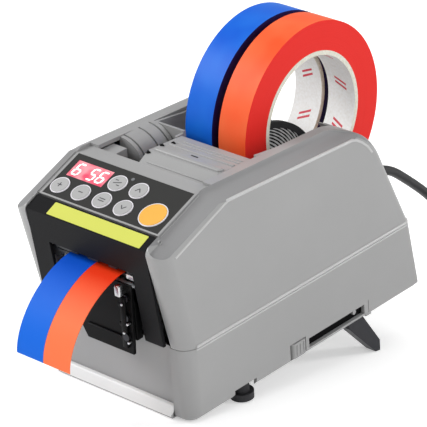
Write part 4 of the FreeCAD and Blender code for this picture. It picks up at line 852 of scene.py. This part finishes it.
def rockerMarks():
    halfWide, halfLong = rockerMark["bar"]
    apart, sunk, tall = rockerMark["apart"], rockerMark["sunk"], rockerMark["tall"]
    bar = softBlock((-halfWide, -halfLong, -sunk), (halfWide, halfLong, tall), rockerMark["soft"], 1)
    ring = flatRing(*rockerMark["ring"], tall + sunk, 32)
    marks = joined([moved(bar, (0, apart, 0)), moved(ring, (0, -apart, -sunk))])
    tip = radians(rockerMark["lean"])
    facing = Matrix(((-1, 0, 0, 0), (0, -sin(tip), cos(tip), 0), (0, cos(tip), sin(tip), 0), (0, 0, 0, 1)))
    marks.data.transform(Matrix.Translation(rockerMark["middle"]) @ facing)
    dress(marks, "rockerMarks", "rocker", "keyRing")


def ridgesOnPlug():
    r = plugRidge
    ridges = joined([softBlock((r["left"], y, r["low"]), (r["right"], y + r["wide"], r["high"]), r["soft"])
                     for y in r["at"]])
    ridges.data.transform(standUp.inverted() @ Matrix.Scale(mm, 4))  # the plug lies level on the ground
    print("rear details are on")
    return dress(ridges, "plugRidges", "casing", "cord", 50)


# Feed lid: ribs along it, notches at their left ends and a small slot

lidTop = {"ridgeY": -46, "ridgeZ": 128.33, "rearFall": 0.0679, "frontFall": 0.549, "right": 36.4, "sunk": 0.2,
          "softShare": 0.85}
lidRibs = [{"at": -24.5, "wide": 0.9, "tall": 0.35, "from": -9},
           {"at": -27.5, "wide": 0.9, "tall": 0.35, "from": -11},
           {"at": -32.0, "wide": 2.2, "tall": 0.5, "from": -12.5},
           {"at": -42.0, "wide": 5.0, "tall": 1.3, "from": -13},
           {"at": -52.5, "wide": 1.2, "tall": 0.5, "from": -11}]
lidNotch = {"outline": [(0, 0), (-2.6, 1.1), (-2.4, -1.3)], "tall": 0.9, "soft": 0.15, "right": 0.8,
            "at": [(-13.2, -36.5), (-13.6, -47.2), (-10.5, -30.0)]}
lidSlot = {"half": (2.6, 0.5), "sunk": 0.1, "tall": 0.12, "soft": 0.1, "at": (10.6, -36.2)}


def onLid(piece, across, along):
    rearward = along > lidTop["ridgeY"]
    fall = lidTop["rearFall"] if rearward else lidTop["frontFall"]
    height = lidTop["ridgeZ"] - abs(along - lidTop["ridgeY"]) * fall
    tip = atan2(-fall if rearward else fall, 1)
    piece.data.transform(Matrix.Translation((across, along, height)) @ Matrix.Rotation(tip, 4, "X"))
    return piece


def lidDetails():
    ribs = []
    for rib in lidRibs:
        halfLong, halfWide = (lidTop["right"] - rib["from"]) / 2, rib["wide"] / 2
        soft = min(rib["tall"], halfWide) * lidTop["softShare"]
        piece = softBlock((-halfLong, -halfWide, -lidTop["sunk"]), (halfLong, halfWide, rib["tall"]), soft, 4)
        ribs.append(onLid(piece, (rib["from"] + lidTop["right"]) / 2, rib["at"]))
    dress(joined(ribs), "lidRibs", "feed_lid", "casing", 50)
    notches = []
    for across, along in lidNotch["at"]:
        wedge = plate(lidNotch["outline"], lidNotch["tall"], lidNotch["soft"])
        notches.append(onLid(moved(wedge, (lidNotch["right"], 0, 0)), across, along))
    halfLong, halfWide = lidSlot["half"]
    low, high = (-halfLong, -halfWide, -lidSlot["sunk"]), (halfLong, halfWide, lidSlot["tall"])
    notches.append(onLid(softBlock(low, high, lidSlot["soft"]), *lidSlot["at"]))
    dress(joined(notches), "lidNotches", "feed_lid", "guard")
    print("lid details are on")


# Cutter guard: the fold near its foot and the side bracket with its pins; above it the bright lever of
# the blade, the bar of the outlet and the edge of the guide

guard = {"face": -114.0, "sunk": 0.4}
bracket = {"left": 22.0, "right": 25.8, "low": 45, "high": 77.0, "proud": 1.3, "soft": 0.5}
nub = {"at": (49.5, 58.2, 70.2), "left": 20.4, "right": 22.6, "tall": 2.2, "proud": 1.0, "soft": 0.4}
fold = {"left": -5.2, "right": 22.0, "low": 50.6, "high": 51.6, "proud": 0.5, "soft": 0.3}
guardPin = {"radius": 0.75, "long": 2.6, "soft": 0.2, "sunk": 0.7,
            "at": [(24, 72.4), (27.4, 61.0), (24.2, 54.6), (27.2, 49.2)]}
outletParts = [  # name, slot, finish, low corner, high corner, soft edge, its segments, smoothing
    ("bladeLever", "steel", "steel", (20.4, -117.2, 77.4), (24.6, -113.6, 84.2), 0.9, 3, 50),
    ("outletBar", "grey_plastic", "bar", (13.5, -111.4, 82.9), (31.0, -108.4, 84.0), 0.35, 2, 35),
    ("guideEdge", "steel", "steel", (25.2, -111.4, 87.4), (31.6, -110.4, 90.2), 0.3, 2, 35),
]


def onGuard(part, low, high):
    front, back = guard["face"] - part["proud"], guard["face"] + guard["sunk"]
    return softBlock((part["left"], front, low), (part["right"], back, high), part["soft"], allRound=True)


def guardDetails():
    pieces = [onGuard(bracket, bracket["low"], bracket["high"])]
    pieces += [onGuard(nub, height, height + nub["tall"]) for height in nub["at"]]
    pieces.append(onGuard(fold, fold["low"], fold["high"]))
    dress(joined(pieces), "guardBracket", "casing", "guard")
    pins = []
    for across, height in guardPin["at"]:
        pin = softRod(guardPin["radius"], guardPin["long"], guardPin["soft"], 16)
        place = Matrix.Translation((across, guard["face"] - guardPin["sunk"], height))
        pin.data.transform(place @ Matrix.Rotation(radians(90), 4, "X"))
        pins.append(pin)
    dress(joined(pins), "guardPins", "casing", "steel", 50)
    for name, slot, finish, low, high, soft, segments, smoothAngle in outletParts:
        dress(softBlock(low, high, soft, segments, allRound=True), name, "casing", finish, smoothAngle)
    print("guard details are on")


# Leg catches: three grip ridges on each

catchRidge = {"back": 58.5, "face": 59.1, "first": -12.6, "pitch": 2.9, "count": 3, "wide": 0.9, "low": 4.0,
              "high": 11.0, "soft": 0.25}


def gripRidges():
    r = catchRidge
    for side, name in ((-1, "Left"), (1, "Right")):
        left, right = sorted((side * r["back"], side * r["face"]))
        starts = [r["first"] + r["pitch"] * k for k in range(r["count"])]
        ridges = [softBlock((left, y, r["low"]), (right, y + r["wide"], r["high"]), r["soft"], allRound=True)
                  for y in starts]
        dress(joined(ridges), "catchRidges" + name, "catch_" + name.lower(), "casing")
    print("grip ridges are on")


# Shoulders of the upper cover: a shallow cove runs along each of them, in a darker grey that is painted shade
# for the dark reflection along the shoulder

# "hollow" and "fade" shape the cove, which is about 1.25 mm deep a third of the way across
cove = {"top": 46.4, "edge": 57.6, "side": 58, "margin": 0.6, "front": -112, "rear": 62, "lowest": 95,
        "cuts": (47.4, 48.6, 50.2, 52.4, 55.0), "hollow": 9.1, "fade": 2.2}


def coveShoulders(piece):
    piece.data.transform(standUp.inverted())

    def onShoulder(middle, normal):
        sloping = 0.3 < abs(normal.x) < 0.7 and normal.z > 0.5
        across = cove["top"] - cove["margin"] < abs(middle.x) < cove["side"]
        return sloping and across and cove["front"] < middle.y < cove["rear"]

    def inBand(middle, normal):
        sloping = abs(normal.x) > 0.12 and normal.z > 0.35
        across = cove["top"] < abs(middle.x) < cove["edge"] and middle.z > cove["lowest"]
        return sloping and across and cove["front"] < middle.y < cove["rear"]

    for side in (-1, 1):
        for across in cove["cuts"]:
            pickFaces(piece, onShoulder)
            bpy.ops.mesh.bisect(plane_co=(side * across, 0, 0), plane_no=(1, 0, 0))
            objectMode()
    shoulder = set()
    for face in piece.data.polygons:
        if onShoulder(face.center, face.normal):
            shoulder.update(face.vertices)
    for index in shoulder:
        point = piece.data.vertices[index].co
        part = (abs(point.x) - cove["top"]) / (cove["edge"] - cove["top"])
        if 0.02 < part < 0.98:  # the two long edges of the shoulder stay
            point.z -= cove["hollow"] * part * (1 - part) ** cove["fade"]
    # painted shade: the sloping faces of the band get the darker grey
    piece.data.materials.append(finishes["casingShade"])
    for face in piece.data.polygons:
        face.material_index = 1 if inBand(face.center, face.normal) else 0
    piece.data.transform(standUp)


# Soft edges on the moulded nodes, made on merged copies: edge width, body and slot. In softEdge,
# "flat", "from" and "smooth" are angles.

softNodes = {
    "upper_cover": (0.6, "casing", "casing"), "base_tray": (0.5, "casing", "casing"),
    "front_cover": (0.35, "front_cover", "black_plastic"), "control_panel": (0.2, "casing", "panel"),
    "feed_lid": (0.35, "feed_lid", "casing"), "cutter_guard": (0.3, "casing", "black_plastic"),
    "leg_left": (0.5, "leg_left", "black_plastic"), "leg_right": (0.5, "leg_right", "black_plastic"),
    "outlet_guide": (0.25, "casing", "grey_plastic"), "tape_well": (0.3, "casing", "grey_plastic"),
    "roll_divider": (0.3, "casing", "black_plastic"),
}
softEdge = {"merge": 1e-6, "flat": 0.5, "segments": 2, "from": 28, "smooth": 35, "faceWeight": 100}


def softened(name, width):
    piece = copyOf(nodes[name], "soft" + "".join(word.title() for word in name.split("_")))
    editMode(piece)
    bpy.ops.mesh.remove_doubles(threshold=softEdge["merge"])
    bpy.ops.mesh.dissolve_limited(angle_limit=radians(softEdge["flat"]))
    objectMode()
    bevel = piece.modifiers.new("edges", "BEVEL")
    bevel.width = width * mm
    bevel.segments = softEdge["segments"]
    bevel.limit_method = "ANGLE"
    bevel.angle_limit = radians(softEdge["from"])
    applyModifiers(piece)
    smoothShade(softEdge["smooth"])
    return piece


def softMouldings():
    for name, (width, body, slot) in softNodes.items():
        piece = softened(name, width)
        if name == "upper_cover":
            coveShoulders(piece)
        makeActive(piece)
        smoothShade(softEdge["smooth"])  # a second pass finds a few more sharp edges, and those of the cove
        flat = piece.modifiers.new("flat faces stay flat", "WEIGHTED_NORMAL")
        flat.weight = softEdge["faceWeight"]
        flat.keep_sharp = True
        applyModifiers(piece)
        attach(piece, body)
        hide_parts(name)
    print("edges are soft on", len(softNodes), "mouldings")


# Mains cord: it falls from the strain relief onto its coil, and the last turn leads to the plug. Its
# places are in metres around the leaning machine.

cordSizes = {"diameter": 6 * mm, "length": 1.74, "coilMiddle": (0.036, 0.263077), "meanRadius": 33 * mm,
             "pitch": 6.1 * mm, "topLayer": 21.35 * mm, "layers": 4, "turns": 7.5, "pointsPerTurn": 20,
             "laneChange": 0.24}
cordFall = [(0, 0.136077, 0.087571), (0, 0.156065, 0.088264), (0, 0.183077, 0.0726), (0, 0.202077, 0.0603),
            (-0.0006, 0.219077, 0.0469), (-0.001, 0.234077, 0.0336), (-0.0006, 0.247077, 0.0254)]
cordTail = [(0.07205, 0.251077, 0.0036), (0.07205, 0.240077, 0.006), (0.07205, 0.229077, 0.0079),
            (0.07205, 0.223077, 0.008)]


def coilPoints():
    s = cordSizes
    outer, inner = s["meanRadius"] + s["pitch"] / 2, s["meanRadius"] - s["pitch"] / 2
    lanes = []  # radius and height of each winding, top layer first
    for layer in range(s["layers"]):
        height = s["topLayer"] - layer * s["pitch"]
        lanes += [(outer, height), (inner, height)] if layer % 2 == 0 else [(inner, height), (outer, height)]
    points = []
    for k in range(int(s["turns"] * s["pointsPerTurn"]) + 1):
        turn = k / s["pointsPerTurn"]
        step = turn * len(lanes) / s["turns"]
        index = min(int(step), len(lanes) - 1)
        after = min(index + 1, len(lanes) - 1)
        part = max(0, (step - index - (1 - s["laneChange"])) / s["laneChange"])
        ease = part * part * (3 - 2 * part)
        radius = lanes[index][0] * (1 - ease) + lanes[after][0] * ease
        height = lanes[index][1] * (1 - ease) + lanes[after][1] * ease
        angle = pi - turn * 2 * pi
        reach = radius / cos(pi / s["pointsPerTurn"]) ** 0.5
        x, y = s["coilMiddle"]
        points.append((x + reach * cos(angle), y + reach * sin(angle), height))
    return points


def mainsCord():
    route = cordFall + coilPoints() + cordTail
    cord = curveThrough(route, cordSizes["diameter"] / 2, "mainsCord", "NURBS", 5)
    line = cord.data.splines[0]
    line.order_u = 3
    line.use_endpoint_u = True
    line.resolution_u = 6
    cord.data.materials.append(finishes["cord"])
    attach(cord, "casing")
    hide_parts("power_cord", "cord_coil")
    print("mains cord is laid")


keyRims()
keyMarks()
litFigures()
frontLabel()
cutStrip(-1, "Blue")
cutStrip(1, "Orange")
lipCap()
slotBlinds()
dividerRibs()
seamBeads()
edgeBeads()
reliefRibs()
rockerMarks()
plugRidges = ridgesOnPlug()
lidDetails()
guardDetails()
gripRidges()
softMouldings()
mainsCord()
